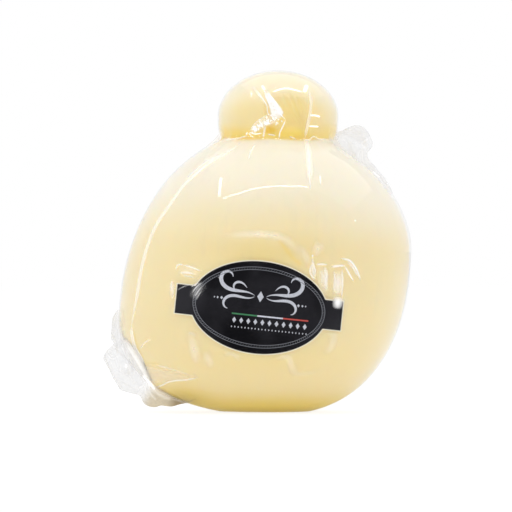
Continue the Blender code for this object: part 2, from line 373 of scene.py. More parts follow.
# Centre, size and amount of painted shade under the left lobe, of painted shade near the floor in the low
# left corner, and of a painted contact shadow there.
LOBE_UNDER_SHADE = ((-13.0, 114.0), (9.0, 2.6), 0.20)
LOW_CORNER = ((-37.0, 7.5), (11.0, 4.0), 0.5)
LOW_CORNER_CONTACT_SHADOW = ((-36.0, 4.6), (8.5, 4.2), 0.75)
GAP_RISE = (50.0, 76.0)
GAP_FALL = (104.0, 110.0)
GAP_ANGLE = 0.7
CREASE_STEPS = 40
RINGS = 225
SIDES = 436
FRONT_SHARE = 0.45
CROWN_GAP = 0.004


def head_radius(height, angle):
    """The head's radius: a flattened ball that narrows squarely towards the neck."""
    share = egg_curve(height, HEAD_BOTTOM, HEAD_HEIGHT, HEAD_TOP, HEAD_UNDER_POWER, 2.0)
    return share * np.hypot(HEAD_HALF_WIDTH * np.cos(angle), HEAD_HALF_DEPTH * np.sin(angle))


def formed(height, angle, bridge, sunk):
    """Ball and head in one: the larger radius, plus bridge (1 - |difference| / bridge)^2 / 4 near the
    neck."""
    ball = ball_radius(height, angle)
    head = head_radius(height, angle)
    near = np.clip(1.0 - np.abs(ball - head) / bridge, 0.0, 1.0)
    joined = np.maximum(ball, head) + near * near * bridge / 4.0
    return turned(height, angle, np.where(height < HEAD_HEIGHT, joined, head), sunk)


def tuck_left(z):
    """Where the tuck begins on the left: further right by TUCK_SLANT for each millimetre below the hood."""
    return TUCK_LEFT + TUCK_SLANT * (HOOD_HEIGHT - z)


def in_tuck(x, z):
    """How much a place on the head's front lies in the tucked-in middle, under the hood's arch: 0 to 1."""
    right_of = smooth_step(x - tuck_left(z), -TUCK_EDGE, TUCK_EDGE)
    left_of = 1.0 - smooth_step(x, TUCK_RIGHT - TUCK_EDGE, TUCK_RIGHT + TUCK_EDGE)
    hood = HOOD_HEIGHT - HOOD_ARCH * (x - TUCK_MIDDLE) ** 2
    below_hood = 1.0 - smooth_step(z, hood - HOOD_SOFTNESS, hood + HOOD_SOFTNESS)
    return right_of * left_of * below_hood * smooth_step(z, TUCK_FOOT, TUCK_FOOT + TUCK_FOOT_SOFTNESS)


def spot(x, z, centre, size, amount=1.0):
    """A soft oval spot: amount exp(-(dx/a)^2 - (dz/b)^2)."""
    return amount * np.exp(-(((x - centre[0]) / size[0]) ** 2) - ((z - centre[1]) / size[1]) ** 2)


def smooth_path(points, count):
    """Places along a curve through the points: cubic pieces whose slopes are those of the neighbours'
    chords."""
    points = np.asarray(points, dtype=float)
    spans = np.concatenate([[0.0], np.cumsum(np.linalg.norm(np.diff(points, axis=0), axis=1))])
    slopes = np.gradient(points, spans, axis=0)
    at = np.linspace(0.0, spans[-1], count)
    piece = np.clip(np.searchsorted(spans, at, side="right") - 1, 0, len(points) - 2)
    width = (spans[piece + 1] - spans[piece])[:, None]
    t = (at[:, None] - spans[piece][:, None]) / width
    ends = (2 * t**3 - 3 * t**2 + 1) * points[piece] + (3 * t**2 - 2 * t**3) * points[piece + 1]
    bends = (t**3 - 2 * t**2 + t) * slopes[piece] + (t**3 - t**2) * slopes[piece + 1]
    return ends + bends * width


def near_path(x, z, path, width):
    """How near a place is to a curve through the points: exp(-(d / width)^2), d to the curve's nearest
    place."""
    way = smooth_path(path, CREASE_STEPS)
    away = np.hypot(x[..., None] - way[:, 0], z[..., None] - way[:, 1]).min(axis=-1)
    return np.exp(-((away / width) ** 2))


def pleated(x, z):
    """The tuck's pleats from -1 to 1: a cosine of the bearing from where they meet, fading to both sides."""
    bearing = np.arctan2(x - PLEAT_MEETING[0], z - PLEAT_MEETING[1])
    fading = np.exp(-(((bearing - PLEAT_BEARING) / PLEAT_SPREAD) ** 2)) * smooth_step(z, *PLEAT_FADE)
    return np.cos((bearing - PLEAT_BEARING) * 2.0 * math.pi / PLEAT_SPACING) * fading * in_tuck(x, z)


def neck_level(x):
    """Height of the line between head and ball on the front: the ball's lip rises to it by LIP_RISE
    exp(-t^2), and at both sides its shoulders climb by NECK_SIDE_RISE s^4."""
    sides = np.minimum(np.abs(x - HEAD_OFFSET) / HEAD_HALF_WIDTH, 1.0) ** 4
    lip = np.exp(-(((x - LIP_PLACE) / LIP_WIDTH) ** 2))
    return NECK_LINE + LIP_RISE * lip + NECK_SIDE_RISE * sides


def curd_sunk(x, z):
    """Depth of the curd's front: the label's dent, and the tuck with its side seams, pleats, cleft and
    tongue."""
    tuck = in_tuck(x, z)
    below = smooth_step(HOOD_HEIGHT - z, 0.0, SEAM_FADE_TOP)
    below = below * smooth_step(z, TUCK_FOOT, TUCK_FOOT + SEAM_FADE_FOOT)
    left_seam = np.exp(-(((x - tuck_left(z)) / SEAM_WIDTH) ** 2))
    seams = left_seam + SEAM_RIGHT_SHARE * np.exp(-(((x - TUCK_RIGHT) / SEAM_WIDTH) ** 2))
    tongue = spot(x, z, TONGUE, TONGUE_SIZE, TONGUE_RISE) * tuck
    cleft = spot(x, z, CLEFT, CLEFT_SIZE, CLEFT_DEPTH)
    lip = spot(x, z, (LIP_PLACE, NECK_HEIGHT + 0.8), (LIP_WIDTH, 1.5), LIP_BULGE)
    folded = TUCK_DEPTH * tuck + SEAM_DEPTH * seams * below + PLEAT_DEPTH * pleated(x, z)
    return dent(x, z) + folded + cleft - tongue - lip


def level_heights(bottom, top, count):
    """Heights that lie closer together towards both ends: a half cosine wave."""
    return bottom + (top - bottom) * (1.0 - np.cos(np.linspace(0.0, math.pi, count))) / 2.0


curd = curd_finish()
ball_part = level_heights(0.0, NECK_HEIGHT, RINGS * 2 // 3)
head_part = level_heights(NECK_HEIGHT, HEAD_TOP - CROWN_GAP, RINGS - len(ball_part) + 1)[1:]
ring_heights = np.concatenate([ball_part, head_part])[:, None]
even_turn = np.arange(SIDES) * 2.0 * math.pi / SIDES
ring_angles = (even_turn - FRONT_SHARE * np.cos(even_turn))[None, :]
curd_grid = formed(ring_heights, ring_angles, CURD_NECK_BRIDGE, curd_sunk)
off_right = smooth_step(ring_heights, *GAP_RISE) * (1.0 - smooth_step(ring_heights, *GAP_FALL))
off_right = off_right * np.exp(-((np.arctan2(np.sin(ring_angles), np.cos(ring_angles)) / GAP_ANGLE) ** 2))
curd_inset = CURD_INSET + SHOULDER_GAP * off_right
unevenness = CURD_WAVINESS * waves(curd_grid, CURD_WAVE_LENGTH, CURD_WAVE_SEED)
curd_grid = swell(curd_grid, unevenness - curd_inset)
curd_points, curd_faces = closed_rings(curd_grid)
curd_x, curd_y, curd_z = curd_points.T
front = smooth_step(-curd_y, 2.0, 10.0)
neck = neck_level(curd_x) * front + NECK_HEIGHT * (1.0 - front)
on_head = smooth_step(curd_z - neck, -0.7, 0.7)
# Painted shade, gathered into the fold mark: in the tuck and its pleats, the cleft, under the head, along the
# neck line, under the left lobe, in soft spots and along creases. low_front deepens the yellow towards the
# bottom of the front.
tuck_shade = (TUCK_SHADE + PLEAT_SHADE * pleated(curd_x, curd_z)) * in_tuck(curd_x, curd_z)
under_head_shade = UNDER_HEAD_SHADE * on_head * (1.0 - smooth_step(curd_z - neck, 0.0, UNDER_HEAD_FADE))
neck_line_shade = NECK_LINE_SHADE * np.exp(-(((curd_z - neck - 0.6) / 0.9) ** 2))
cleft_shade = spot(curd_x, curd_z, CLEFT, (3.0, 1.8), CLEFT_SHADE)
lobe_under_shade = on_head * spot(curd_x, curd_z, *LOBE_UNDER_SHADE)
low_front = 0.10 * (1.0 - smooth_step(curd_z, 8.0, 50.0))
face = np.maximum(tuck_shade + HEAD_SHADE * on_head, cleft_shade) + lobe_under_shade + low_front
for amount, centre, size in PAINTED_SHADE_SPOTS:
    face += spot(curd_x, curd_z, centre, size, amount)
for amount, path, width in SHADE_AND_HIGHLIGHT_LINES:
    face += amount * near_path(curd_x, curd_z, path, width)
# Painted highlight, in the pale mark: the upper ball, its right side, the head's crown and the head's sides
# are paler where light falls on them, and the ball's lip under the head loses its painted shade.
lip_highlight = spot(curd_x, curd_z, (LIP_PLACE, NECK_HEIGHT + 0.4), (LIP_WIDTH, 1.6)) * (1.0 - on_head)
right_highlight = 0.25 * smooth_step(curd_x, 5.0, 50.0) * smooth_step(curd_z, 52.0, 80.0)
ball_highlight = smooth_step(curd_z, 60.0, 105.0) + right_highlight
crown_highlight = 0.9 * smooth_step(curd_z, 121.0, 134.0)
cheek_highlight = 0.55 * smooth_step(np.abs(curd_x - HEAD_OFFSET), 13.0, 24.0) * smooth_step(curd_z, 113.0, 119.0)
# Painted shade near the floor in the foot mark, more in the low left corner, and a painted contact shadow in
# that corner and on the flat spot underneath.
low_corner_shade = front * spot(curd_x, curd_z, *LOW_CORNER)
low_contact_shadow = front * spot(curd_x, curd_z, *LOW_CORNER_CONTACT_SHADOW)
curd_marks = {
    "pale": (1.0 - on_head) * ball_highlight + on_head * (crown_highlight + cheek_highlight),
    "fold": np.clip((np.maximum(under_head_shade, neck_line_shade) + front * face) * (1.0 - lip_highlight), 0.0, 1.0),
    "foot": np.clip(1.0 - smooth_step(curd_z, 0.0, 11.0) + low_corner_shade, 0.0, 1.0),
    "contact_shadow": low_contact_shadow + 0.5 * (1.0 - smooth_step(curd_z, 0.3, FLAT_SPOT_EDGE)),
}
curd_lump = add_piece("curd_lump", curd_points, curd_faces, curd, curd_marks)

# The paper label.
# Near-black coated paper, die cut to an oval with a short bar at each end, so that its pale core shows as a
# thin line at the edge. It lies in the dent on the front, under the film.
LABEL_CENTRE = (-3.7, 43.5)
LABEL_OVAL = (27.9, 18.9)
LABEL_HALF_LENGTH = 33.8
LABEL_BAR_HALF_HEIGHT = 6.3
LABEL_BAR_FADE = (20.0, 29.0)
LABEL_TURN = math.radians(-6.0)
LABEL_UNDER = 0.3
LABEL_FACE = 0.7
LABEL_EDGE_WIDTH = 0.42
LABEL_COLUMNS = 241
LABEL_ROWS = 81
ANGLE_STEPS = 60
SMALL_TURN = 0.004
SMALL_RISE = 0.1
FILM_NECK_BRIDGE = 12.0
FOLD_DEPTH = 1.9
FOLD_CENTRE = 7.4
FOLD_HALF_WIDTH = 8.2
FOLD_HOOD = 130.8
FOLD_HOOD_SOFTNESS = 2.4
FOLD_FOOT = 106.0
# Black ink, and a lighter black that is a painted sheen, the film's reflection over the label.
INK_BLACK = (0.0020, 0.0019, 0.0035, 1.0)
INK_PAINTED_SHEEN = (0.0120, 0.0115, 0.0160, 1.0)
PAPER_CORE = (0.93, 0.86, 0.69, 1.0)


def wrapped(height, angle):
    """The form that the film hugs: it bridges the neck and the head's tuck more widely than the curd does."""
    return formed(height, angle, FILM_NECK_BRIDGE, film_sunk)


def film_sunk(x, z):
    """Depth of the film's front: the label's dent, and half of the head's tuck, which the film spans."""
    across = np.exp(-(((x - FOLD_CENTRE) / FOLD_HALF_WIDTH) ** 4))
    below_hood = 1.0 - smooth_step(z, FOLD_HOOD - FOLD_HOOD_SOFTNESS, FOLD_HOOD + FOLD_HOOD_SOFTNESS)
    return dent(x, z) + FOLD_DEPTH * across * below_hood * smooth_step(z, FOLD_FOOT, NECK_HEIGHT)


def off_form(height, angle, lift):
    """Points lift millimetres off the wrapped form, along the cross product of two small steps on it."""
    around = wrapped(height, angle + SMALL_TURN) - wrapped(height, angle - SMALL_TURN)
    up = wrapped(height + SMALL_RISE, angle) - wrapped(height - SMALL_RISE, angle)
    normal = np.cross(around, up)
    normal /= np.linalg.norm(normal, axis=-1, keepdims=True) + TINY
    return wrapped(height, angle) + normal * np.asarray(lift)[..., None]


def angle_at(x, z):
    """The angle at which the wrapped form's front is at x, found by stepping towards it."""
    angle = np.full(np.shape(x), -math.pi / 2.0)
    for _ in range(ANGLE_STEPS):
        missed = x - wrapped(z, angle)[..., 0]
        angle = np.clip(angle + missed / BALL_HALF_WIDTH, -math.pi + 0.03, -0.03)
    return angle


def on_front(x, z, lift):
    """Points lift millimetres off the wrapped form's front, straight behind the given x and z."""
    return off_form(z, angle_at(x, z), lift)


def sheet_faces(rows, columns, first=0):
    """Quads between neighbouring rows of a grid whose points are numbered row by row from first."""
    corner = first + (np.arange(rows - 1)[:, None] * columns + np.arange(columns - 1)[None, :]).ravel()
    return np.stack([corner, corner + 1, corner + columns + 1, corner + columns], axis=-1).tolist()


def on_label(along, up, lift):
    """Points on the label: its own two directions turned with it, then laid on the wrapped form."""
    x = LABEL_CENTRE[0] + along * math.cos(LABEL_TURN) - up * math.sin(LABEL_TURN)
    z = LABEL_CENTRE[1] + along * math.sin(LABEL_TURN) + up * math.cos(LABEL_TURN)
    return on_front(x, z, np.broadcast_to(lift, x.shape))


def label_inside(along, up):
    """How far inside the label's outline a place is: the larger of the oval's and the bars' distances."""
    level = (along / LABEL_OVAL[0]) ** 2 + (up / LABEL_OVAL[1]) ** 2
    slope = 2.0 * np.hypot(along / LABEL_OVAL[0] ** 2, up / LABEL_OVAL[1] ** 2) + TINY
    past_end = np.abs(along) - LABEL_HALF_LENGTH
    past_side = np.abs(up) - LABEL_BAR_HALF_HEIGHT
    outside = np.hypot(np.clip(past_end, 0.0, None), np.clip(past_side, 0.0, None))
    bars = outside + np.minimum(np.maximum(past_end, past_side), 0.0)
    return np.maximum((1.0 - level) / slope, -bars)


def label_finish():
    """Coated black paper with a painted sheen: soft lighter patches and its lighter end bars stand in for the
    film's reflection over it. Its sheen varies a little, and its pale core shows along the cut edge. The coat
    is the gloss of the film that clings to it."""
    material, wire = new_finish("label_paper")
    place = wire.place()
    fibre = wire.noise(place, 420.0, 3.0)
    sheen = wire.noise(place, 70.0, 2.0)
    cut_edge = 1.0 - wire.mark("inside").ramp(LABEL_EDGE_WIDTH * 0.7, LABEL_EDGE_WIDTH * 1.3)
    clouds = wire.noise(place, 34.0, 2.0)
    # Painted sheen: soft patches and the end bars are lightened as the film's reflection; the coat follows
    # them.
    painted_sheen = (clouds + (fibre - 0.5) * 0.12).ramp(0.42, 0.6) * 0.7 + wire.mark("bar") * 0.9
    black = painted_sheen.tint(INK_BLACK, INK_PAINTED_SHEEN)
    sockets = {
        "Base Color": cut_edge.tint(black, PAPER_CORE),
        "Roughness": 0.5 + (sheen - 0.5) * 0.2,
        "Specular IOR Level": 0.05,
        "Coat Weight": 0.05 + painted_sheen * 0.2,
        "Coat Roughness": 0.14,
    }
    wire.surface(wire.principled(sockets))
    return material


label_along = LABEL_HALF_LENGTH * np.linspace(-1.0, 1.0, LABEL_COLUMNS)[None, :]
oval_height = LABEL_OVAL[1] * np.sqrt(np.clip(1.0 - (label_along / LABEL_OVAL[0]) ** 2, 0.0, 1.0))
label_half_height = np.maximum(oval_height, LABEL_BAR_HALF_HEIGHT)
label_share = np.sin(np.linspace(-math.pi / 2.0, math.pi / 2.0, LABEL_ROWS))[:, None]
label_up = label_half_height * label_share
label_along = np.broadcast_to(label_along, label_up.shape)
label_points = on_label(label_along, label_up, LABEL_FACE).reshape(-1, 3)
label_marks = {
    "inside": label_inside(label_along, label_up),
    # Where the end bars are, which get the painted sheen.
    "bar": smooth_step(np.abs(label_along), *LABEL_BAR_FADE),
}
label_faces = sheet_faces(LABEL_ROWS, LABEL_COLUMNS)
label_paper = label_finish()
label_sheet = add_piece("label_sheet", label_points, label_faces, label_paper, label_marks)
thickness = label_sheet.modifiers.new("paper_thickness", "SOLIDIFY")
thickness.thickness = (LABEL_FACE - LABEL_UNDER) * MM
thickness.offset = -1.0
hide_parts("label")

# The label's print.
# Raised silver ink: a rope line of two thin rings with slanted ticks between them, a scroll with a lozenge in
# the middle, a row of small lozenges, and a stripe in three colours.
INK_LIFT = 0.04
RING_OUTER = (26.5, 16.15)
RING_GAP = 1.1
RING_LINE = 0.19
RING_TICKS = 150
RING_TICK_SLANT = 0.018
RING_TICK_HALF_WIDTH = 0.06
STRIPE_START = -10.5
STRIPE_END = 20.2
STRIPE_HEIGHT = -3.35
STRIPE_WIDTH = 0.62
SCROLL_CENTRE = (0.2, 4.4)
SCROLL_SIZE = 1.14
SCROLL_LOZENGE = (1.3, 2.2)
SCROLL_STROKES = (
    ((2.1, 0.2), 0.55, 21.0, -0.20, 0.62, 0.72),
    ((2.1, -0.2), -0.60, 15.0, 0.30, -0.66, 0.52),
    ((5.0, 2.6), 0.9, 7.5, -0.10, -0.85, 0.4),
)
SCROLL_DOTS = ((15.4, 0.55), (17.0, 0.42), (18.3, 0.3))
SCROLL_DOT_DROP = 2.0
LOZENGE_ROW = -5.9
LOZENGE_COUNT = 11
LOZENGE_SIZE = (0.8, 1.25)
FINE_ROW = -8.7
FINE_COUNT = 23
FINE_SIZE = (0.26, 0.42)
SILVER = (0.60, 0.62, 0.69, 1.0)
ROPE_SILVER = (0.20, 0.21, 0.24, 1.0)
STRIPE_COLOURS = {
    "stripe_green": (0.03, 0.21, 0.08, 1.0),
    "stripe_white": (0.66, 0.68, 0.78, 1.0),
    "stripe_red": (0.55, 0.06, 0.045, 1.0),
}


def ink_finish(name, colour, metallic):
    """Printed ink: its colour with a fine grain from the press, a little uneven in its sheen."""
    material, wire = new_finish(name)
    grain = wire.noise(wire.place(), 2600.0, 2.0)
    faded = tuple(part * 0.82 for part in colour[:3]) + (1.0,)
    sockets = {
        "Base Color": grain.ramp(0.35, 0.65).tint(faded, colour),
        "Roughness": 0.36 + (grain - 0.5) * 0.2,
        "Metallic": metallic,
    }
    wire.surface(wire.principled(sockets))
    return material


def ink_stroke(along, up, half_width):
    """A printed line as a grid of two rows: the path and its offsets to both sides, half_width away."""
    run = np.gradient(along)
    rise = np.gradient(up)
    length = np.hypot(run, rise) + TINY
    side = np.stack([-rise, run]) / length * half_width
    low = np.stack([along - side[0], up - side[1]])
    high = np.stack([along + side[0], up + side[1]])
    return np.stack([low, high], axis=1)


def print_on_label(name, strokes, finish):
    """One piece from many strokes, each a grid of label places, laid INK_LIFT off the label's face."""
    points = []
    faces = []
    for along, up in strokes:
        rows, columns = along.shape
        faces += sheet_faces(rows, columns, sum(len(done) for done in points))
        points.append(on_label(along, up, LABEL_FACE + INK_LIFT).reshape(-1, 3))
    piece = add_piece(name, np.vstack(points), faces, finish, {})
    return piece


def oval_line(inset, start=0.0, end=2.0 * math.pi, count=241):
    """Places along the rope line's oval, moved in by inset."""
    turn = np.linspace(start, end, count)
    return (RING_OUTER[0] - inset) * np.cos(turn), (RING_OUTER[1] - inset) * np.sin(turn)


def lozenge(along, up, half_width, half_height):
    """A diamond as a square grid turned by an eighth and stretched."""
    right, over = np.meshgrid(np.linspace(-0.5, 0.5, 5), np.linspace(-0.5, 0.5, 5))
    return along + (right - over) * half_width, up + (right + over) * half_height


def flourish(start, heading, length, bend_start, bend_end, half_width, mirrored):
    """A pen stroke whose bend changes evenly along it, thickest past its middle and pointed at both ends."""
    share = np.linspace(0.0, 1.0, 64)
    bend = bend_start + (bend_end - bend_start) * share
    step = length / (len(share) - 1)
    turned_by = heading + np.concatenate([[0.0], np.cumsum(bend[:-1] * step)])
    along = start[0] + np.concatenate([[0.0], np.cumsum(np.cos(turned_by[:-1]) * step)])
    up = start[1] + np.concatenate([[0.0], np.cumsum(np.sin(turned_by[:-1]) * step)])
    width = half_width * np.sin(math.pi * share**1.25) ** 0.8 + 0.07
    side = -1.0 if mirrored else 1.0
    along = SCROLL_CENTRE[0] + side * along * SCROLL_SIZE
    stroke = ink_stroke(along, SCROLL_CENTRE[1] + up * SCROLL_SIZE, width)
    return stroke[:, ::-1] if mirrored else stroke


silver_ink = ink_finish("silver_ink", SILVER, 0.2)
rope_ink = ink_finish("rope_ink", ROPE_SILVER, 0.2)
rope = [ink_stroke(*oval_line(0.0), RING_LINE / 2.0), ink_stroke(*oval_line(RING_GAP), RING_LINE / 2.0)]
for tick in range(RING_TICKS):
    turn = tick * 2.0 * math.pi / RING_TICKS
    outer = oval_line(0.0, turn, turn, 1)
    inner = oval_line(RING_GAP, turn + RING_TICK_SLANT, turn + RING_TICK_SLANT, 1)
    rope.append(ink_stroke(*np.hstack([outer, inner]), RING_TICK_HALF_WIDTH))
print_on_label("label_rope_line", rope, rope_ink)

scroll = [lozenge(*SCROLL_CENTRE, *SCROLL_LOZENGE)]
for mirrored in (False, True):
    scroll += [flourish(*stroke, mirrored) for stroke in SCROLL_STROKES]
    side = -1.0 if mirrored else 1.0
    for distance, size in SCROLL_DOTS:
        place = SCROLL_CENTRE[0] + side * distance
        scroll.append(lozenge(place, SCROLL_CENTRE[1] - SCROLL_DOT_DROP, size, size * 1.3))
print_on_label("label_scroll", scroll, silver_ink)

row = []
for place in np.linspace(STRIPE_START + 1.2, STRIPE_END - 1.2, LOZENGE_COUNT):
    row.append(lozenge(place, LOZENGE_ROW, *LOZENGE_SIZE))
for place in np.linspace(STRIPE_START + 0.4, STRIPE_END - 0.4, FINE_COUNT):
    row.append(lozenge(place, FINE_ROW, *FINE_SIZE))
print_on_label("label_lozenges", row, silver_ink)

third = (STRIPE_END - STRIPE_START) / 3.0
for number, (name, colour) in enumerate(STRIPE_COLOURS.items()):
    start = STRIPE_START + third * number
    band = ink_stroke(np.linspace(start, start + third, 20), np.full(20, STRIPE_HEIGHT), STRIPE_WIDTH / 2.0)
    print_on_label("label_" + name, [band], ink_finish(name, colour, 0.0))

# The film.
# A clear bag shrunk tight on the cheese in hot water. It touches the curd nearly everywhere, spans the neck
# and the head's tuck, and lies over the label, whose edges lift it.
FILM_OVER_LABEL = 0.95
FILM_TENT_WIDTH = 2.6
FILM_WAVINESS = 0.16
FILM_WAVE_LENGTH = 30.0
FILM_WAVE_SEED = 21
LABEL_RIPPLE = 0.05
RIPPLE_LENGTH = 11.0
RIPPLE_SEED = 33
NECK_GATHERS = 0.22
FILM_MIRROR = 0.02
TIGHT_TINT = (0.99, 0.99, 0.99, 1.0)
TIGHT_HAZE = (0.99, 0.985, 0.975, 1.0)
FILM_BASE_HAZE = 0.01
FILM_EDGE_HAZE = 0.19
# Emission colours: a faint painted glow for the light that runs in the film, and the brighter glow of painted
# highlights.
FILM_GLOW = (0.06, 0.06, 0.062, 1.0)
GLINT_GLOW = (0.55, 0.55, 0.55, 1.0)
MILK_PASSES = 0.8
HAZE_LIMIT = 0.95
TRAPPED_CURD = (0.86, 0.75, 0.52, 1.0)
# A dark brown painted contact shadow, where the low flap's tail meets the ball and the table.
FLAP_TAIL_SHADOW = (0.36, 0.25, 0.09, 1.0)


def film_finish(name, clear_tint, milky_tint, caught_tint, passing):
    """Clear film: see-through where it lies flat, milky where the haze mark says and, as skin (1 - cos)^2,
    where it is seen edge on, and glossy by its angle, as f + (1 - f)(1 - cos)^5. The milk lets MILK_PASSES of
    a shadow's light through. A painted glow stands in for the light that runs in the film, more by passing
    (1 - haze), and the glint mark paints highlights in as glow. The tinge mark shows where curd is caught in
    a fold, the deep mark paints a contact shadow on the low flap's tail, the crinkle mark breaks the haze up,
    and the dull mark is 1 where the label's own coat is the gloss."""
    material, wire = new_finish(name)
    place = wire.place()
    cloudy = wire.noise(place, 420.0, 3.0, 0.65)
    streaks = wire.noise(wire.stretched(place, (160.0, 160.0, 26.0)), 1.0, 3.0)
    fine = wire.noise(place, 1300.0, 1.0)
    broken = 1.0 + wire.mark("crinkle") * (fine - 0.5) * 1.2
    facing = wire.node("ShaderNodeLayerWeight", {}, {"Blend": 0.5}, out=1)
    haze = wire.mark("haze") * (0.8 + cloudy * 0.4) * broken + wire.mark("skin") * facing * facing
    haze = wire.math("MAXIMUM", haze + wire.mark("streak") * streaks.ramp(0.52, 0.75), 0.0)
    # Painted light: the film glows by the glint mark and by the light it lets through.
    lit = wire.math("MAXIMUM", wire.mark("glint"), (1.0 - haze) * passing)
    ripples = wire.noise(place, 240.0, 2.0)
    relief = wire.bump(wire.mark("crinkle") * cloudy * 0.4 + ripples * 0.02, 0.35, 0.0006)
    clear = wire.node("ShaderNodeBsdfTransparent", {}, {"Color": clear_tint})
    tinged = wire.mark("tinge").tint(milky_tint, caught_tint)
    sockets = {
        "Base Color": wire.mark("deep").tint(tinged, FLAP_TAIL_SHADOW),
        "Roughness": 0.35,
        "Normal": relief,
        "Emission Color": lit.tint(FILM_GLOW, GLINT_GLOW),
        "Emission Strength": 1.0,
    }
    milky = wire.principled(sockets)
    shadow = wire.node("ShaderNodeLightPath", {}, {}, out=1)
    share = wire.math("MINIMUM", haze, HAZE_LIMIT) * (1.0 - shadow * MILK_PASSES)
    white = (1.0, 1.0, 1.0, 1.0)
    mirror = wire.node("ShaderNodeBsdfGlossy", {}, {"Color": white, "Roughness": 0.03, "Normal": relief})
    gloss = (FILM_MIRROR + (1.0 - FILM_MIRROR) * facing**5.0) * (1.0 - wire.mark("dull"))
    wire.surface(wire.mixed(gloss, wire.mixed(share, clear, milky), mirror))
    return material


def label_distance(x, z):
    """How far outside the label's outline a place on the front is, below 0 inside it."""
    right = x - LABEL_CENTRE[0]
    over = z - LABEL_CENTRE[1]
    along = right * math.cos(LABEL_TURN) + over * math.sin(LABEL_TURN)
    up = -right * math.sin(LABEL_TURN) + over * math.cos(LABEL_TURN)
    return -label_inside(along, up)


def film_lift(height, angle):
    """How far the film lies off the wrapped form: slow waves, gathers at the neck, a tent over the label."""
    form = wrapped(height, angle)
    x, y, z = np.moveaxis(form, -1, 0)
    gathers = np.sin(17.0 * angle + 2.0 * np.sin(3.0 * angle))
    gathers = gathers + 0.3 * np.sin(41.0 * angle + 3.0 * np.sin(5.0 * angle))
    near_neck = np.exp(-(((z - NECK_HEIGHT) / 5.5) ** 2))
    slow = FILM_WAVINESS * (waves(form, FILM_WAVE_LENGTH, FILM_WAVE_SEED) + 0.7)
    lift = slow + NECK_GATHERS * near_neck * gathers
    tented = (1.0 - smooth_step(label_distance(x, z), 0.0, FILM_TENT_WIDTH)) * smooth_step(-y, 0.0, 12.0)
    ripple = LABEL_RIPPLE * (waves(form, RIPPLE_LENGTH, RIPPLE_SEED) + 0.4)
    over_label = (FILM_OVER_LABEL + ripple) * tented
    return np.maximum(lift, over_label) * smooth_step(z, 0.0, 3.0)


tight_film = film_finish("film_tight", TIGHT_TINT, TIGHT_HAZE, TRAPPED_CURD, 0.25)
film_grid = off_form(ring_heights, ring_angles, film_lift(ring_heights, ring_angles))
film_points, film_faces = closed_rings(film_grid)
film_x, film_y, film_z = film_points.T
film_front = smooth_step(-film_y, 0.0, 12.0)
over_label = film_front * (1.0 - smooth_step(label_distance(film_x, film_z), -0.6, 0.6))
neck_web = np.exp(-(((film_z - NECK_HEIGHT) / 4.0) ** 2)) * (1.0 - film_front)
off_foot = smooth_step(film_z, 2.0, 18.0)
film_marks = {
    "haze": (FILM_BASE_HAZE * off_foot + 0.3 * neck_web) * (1.0 - over_label),
    "skin": FILM_EDGE_HAZE * off_foot * (1.0 - over_label),
    "streak": 0.03 * off_foot * (1.0 - over_label),
    "dull": np.maximum(over_label, 0.7 * (1.0 - off_foot)),
    "crinkle": 0.02 + 0.08 * neck_web,
}
film_skin = add_piece("film_skin", film_points, film_faces, tight_film, film_marks)
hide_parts("scamorza")
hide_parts("scamorza")

# The film's corners.
# Where the bag was wider than the cheese, its corners shrank into crumpled flaps: one low on the left that
# lies partly on the ball, and one behind the right shoulder. Both walls of the bag are welded along the rim.
NOWHERE = (400.0, 410.0)
LOW_FLAP = {
    "centre": (-25.0, 42.0),
    "root": 36.4,
    "plane": -9.0,
    "span": (180.0, 263.0),
    "rim": (
        (180.0, 0.0), (185.0, 2.3), (192.0, 3.4), (197.0, 4.6), (200.5, 3.9), (202.0, 7.3), (205.0, 10.6),
        (210.4, 10.2), (215.0, 10.8), (219.6, 11.5), (223.0, 11.9), (227.7, 9.9), (232.0, 8.1), (236.0, 9.8),
        (239.0, 9.7), (241.7, 9.0), (244.3, 7.0), (250.0, 5.7), (254.0, 3.9), (259.6, 2.1), (263.0, 0.0),
    ),
    "cloudy_from": (
        (180.0, -0.3), (198.0, -0.5), (206.0, -2.8), (214.0, -2.9), (221.0, -2.4), (227.0, -1.0),
        (235.0, 1.4), (242.4, 1.4), (252.0, 2.2), (259.0, 2.2), (263.0, 0.5),
    ),
    "fade": (256.5, 261.5),
    # Angles over which the flap's tail gets a painted contact shadow.
    "deep": (246.5, 252.5),
    # Strokes: path, width, haze and glint, the glint painting a highlight in as glow.
    "strokes": (
        ([(-50.6, 14.9), (-48.7, 12.4), (-46.5, 9.8)], 0.42, 0.9, 1.0),
        ([(-57.7, 24.8), (-56.9, 19.4), (-55.5, 13.6), (-53.6, 10.2)], 0.6, 0.16, 0.1),
        ([(-65.9, 26.6), (-64.1, 27.4), (-62.2, 26.4), (-60.6, 27.2)], 0.4, 0.22, 0.1),
        ([(-66.0, 24.0), (-63.8, 21.9), (-61.6, 22.6)], 0.4, 0.2, 0.1),
        ([(-58.1, 19.4), (-57.9, 18.6)], 0.35, 0.6, 0.9),
        ([(-49.7, 12.0), (-50.2, 9.0), (-49.0, 6.2)], 0.5, 0.35, 0.2),
        ([(-48.6, 11.3), (-48.2, 8.0), (-46.0, 5.4)], 0.4, 0.35, 0.2),
        ([(-53.0, 9.6), (-51.4, 10.6), (-50.0, 12.2)], 0.4, 0.3, 0.2),
        ([(-46.4, 9.4), (-44.6, 7.6), (-42.6, 6.4), (-40.4, 5.8)], 0.7, 0.4, 0.3),
    ),
    "facets": 40,
    "tinge": (231.0, 240.0),
    "seed": 5,
}
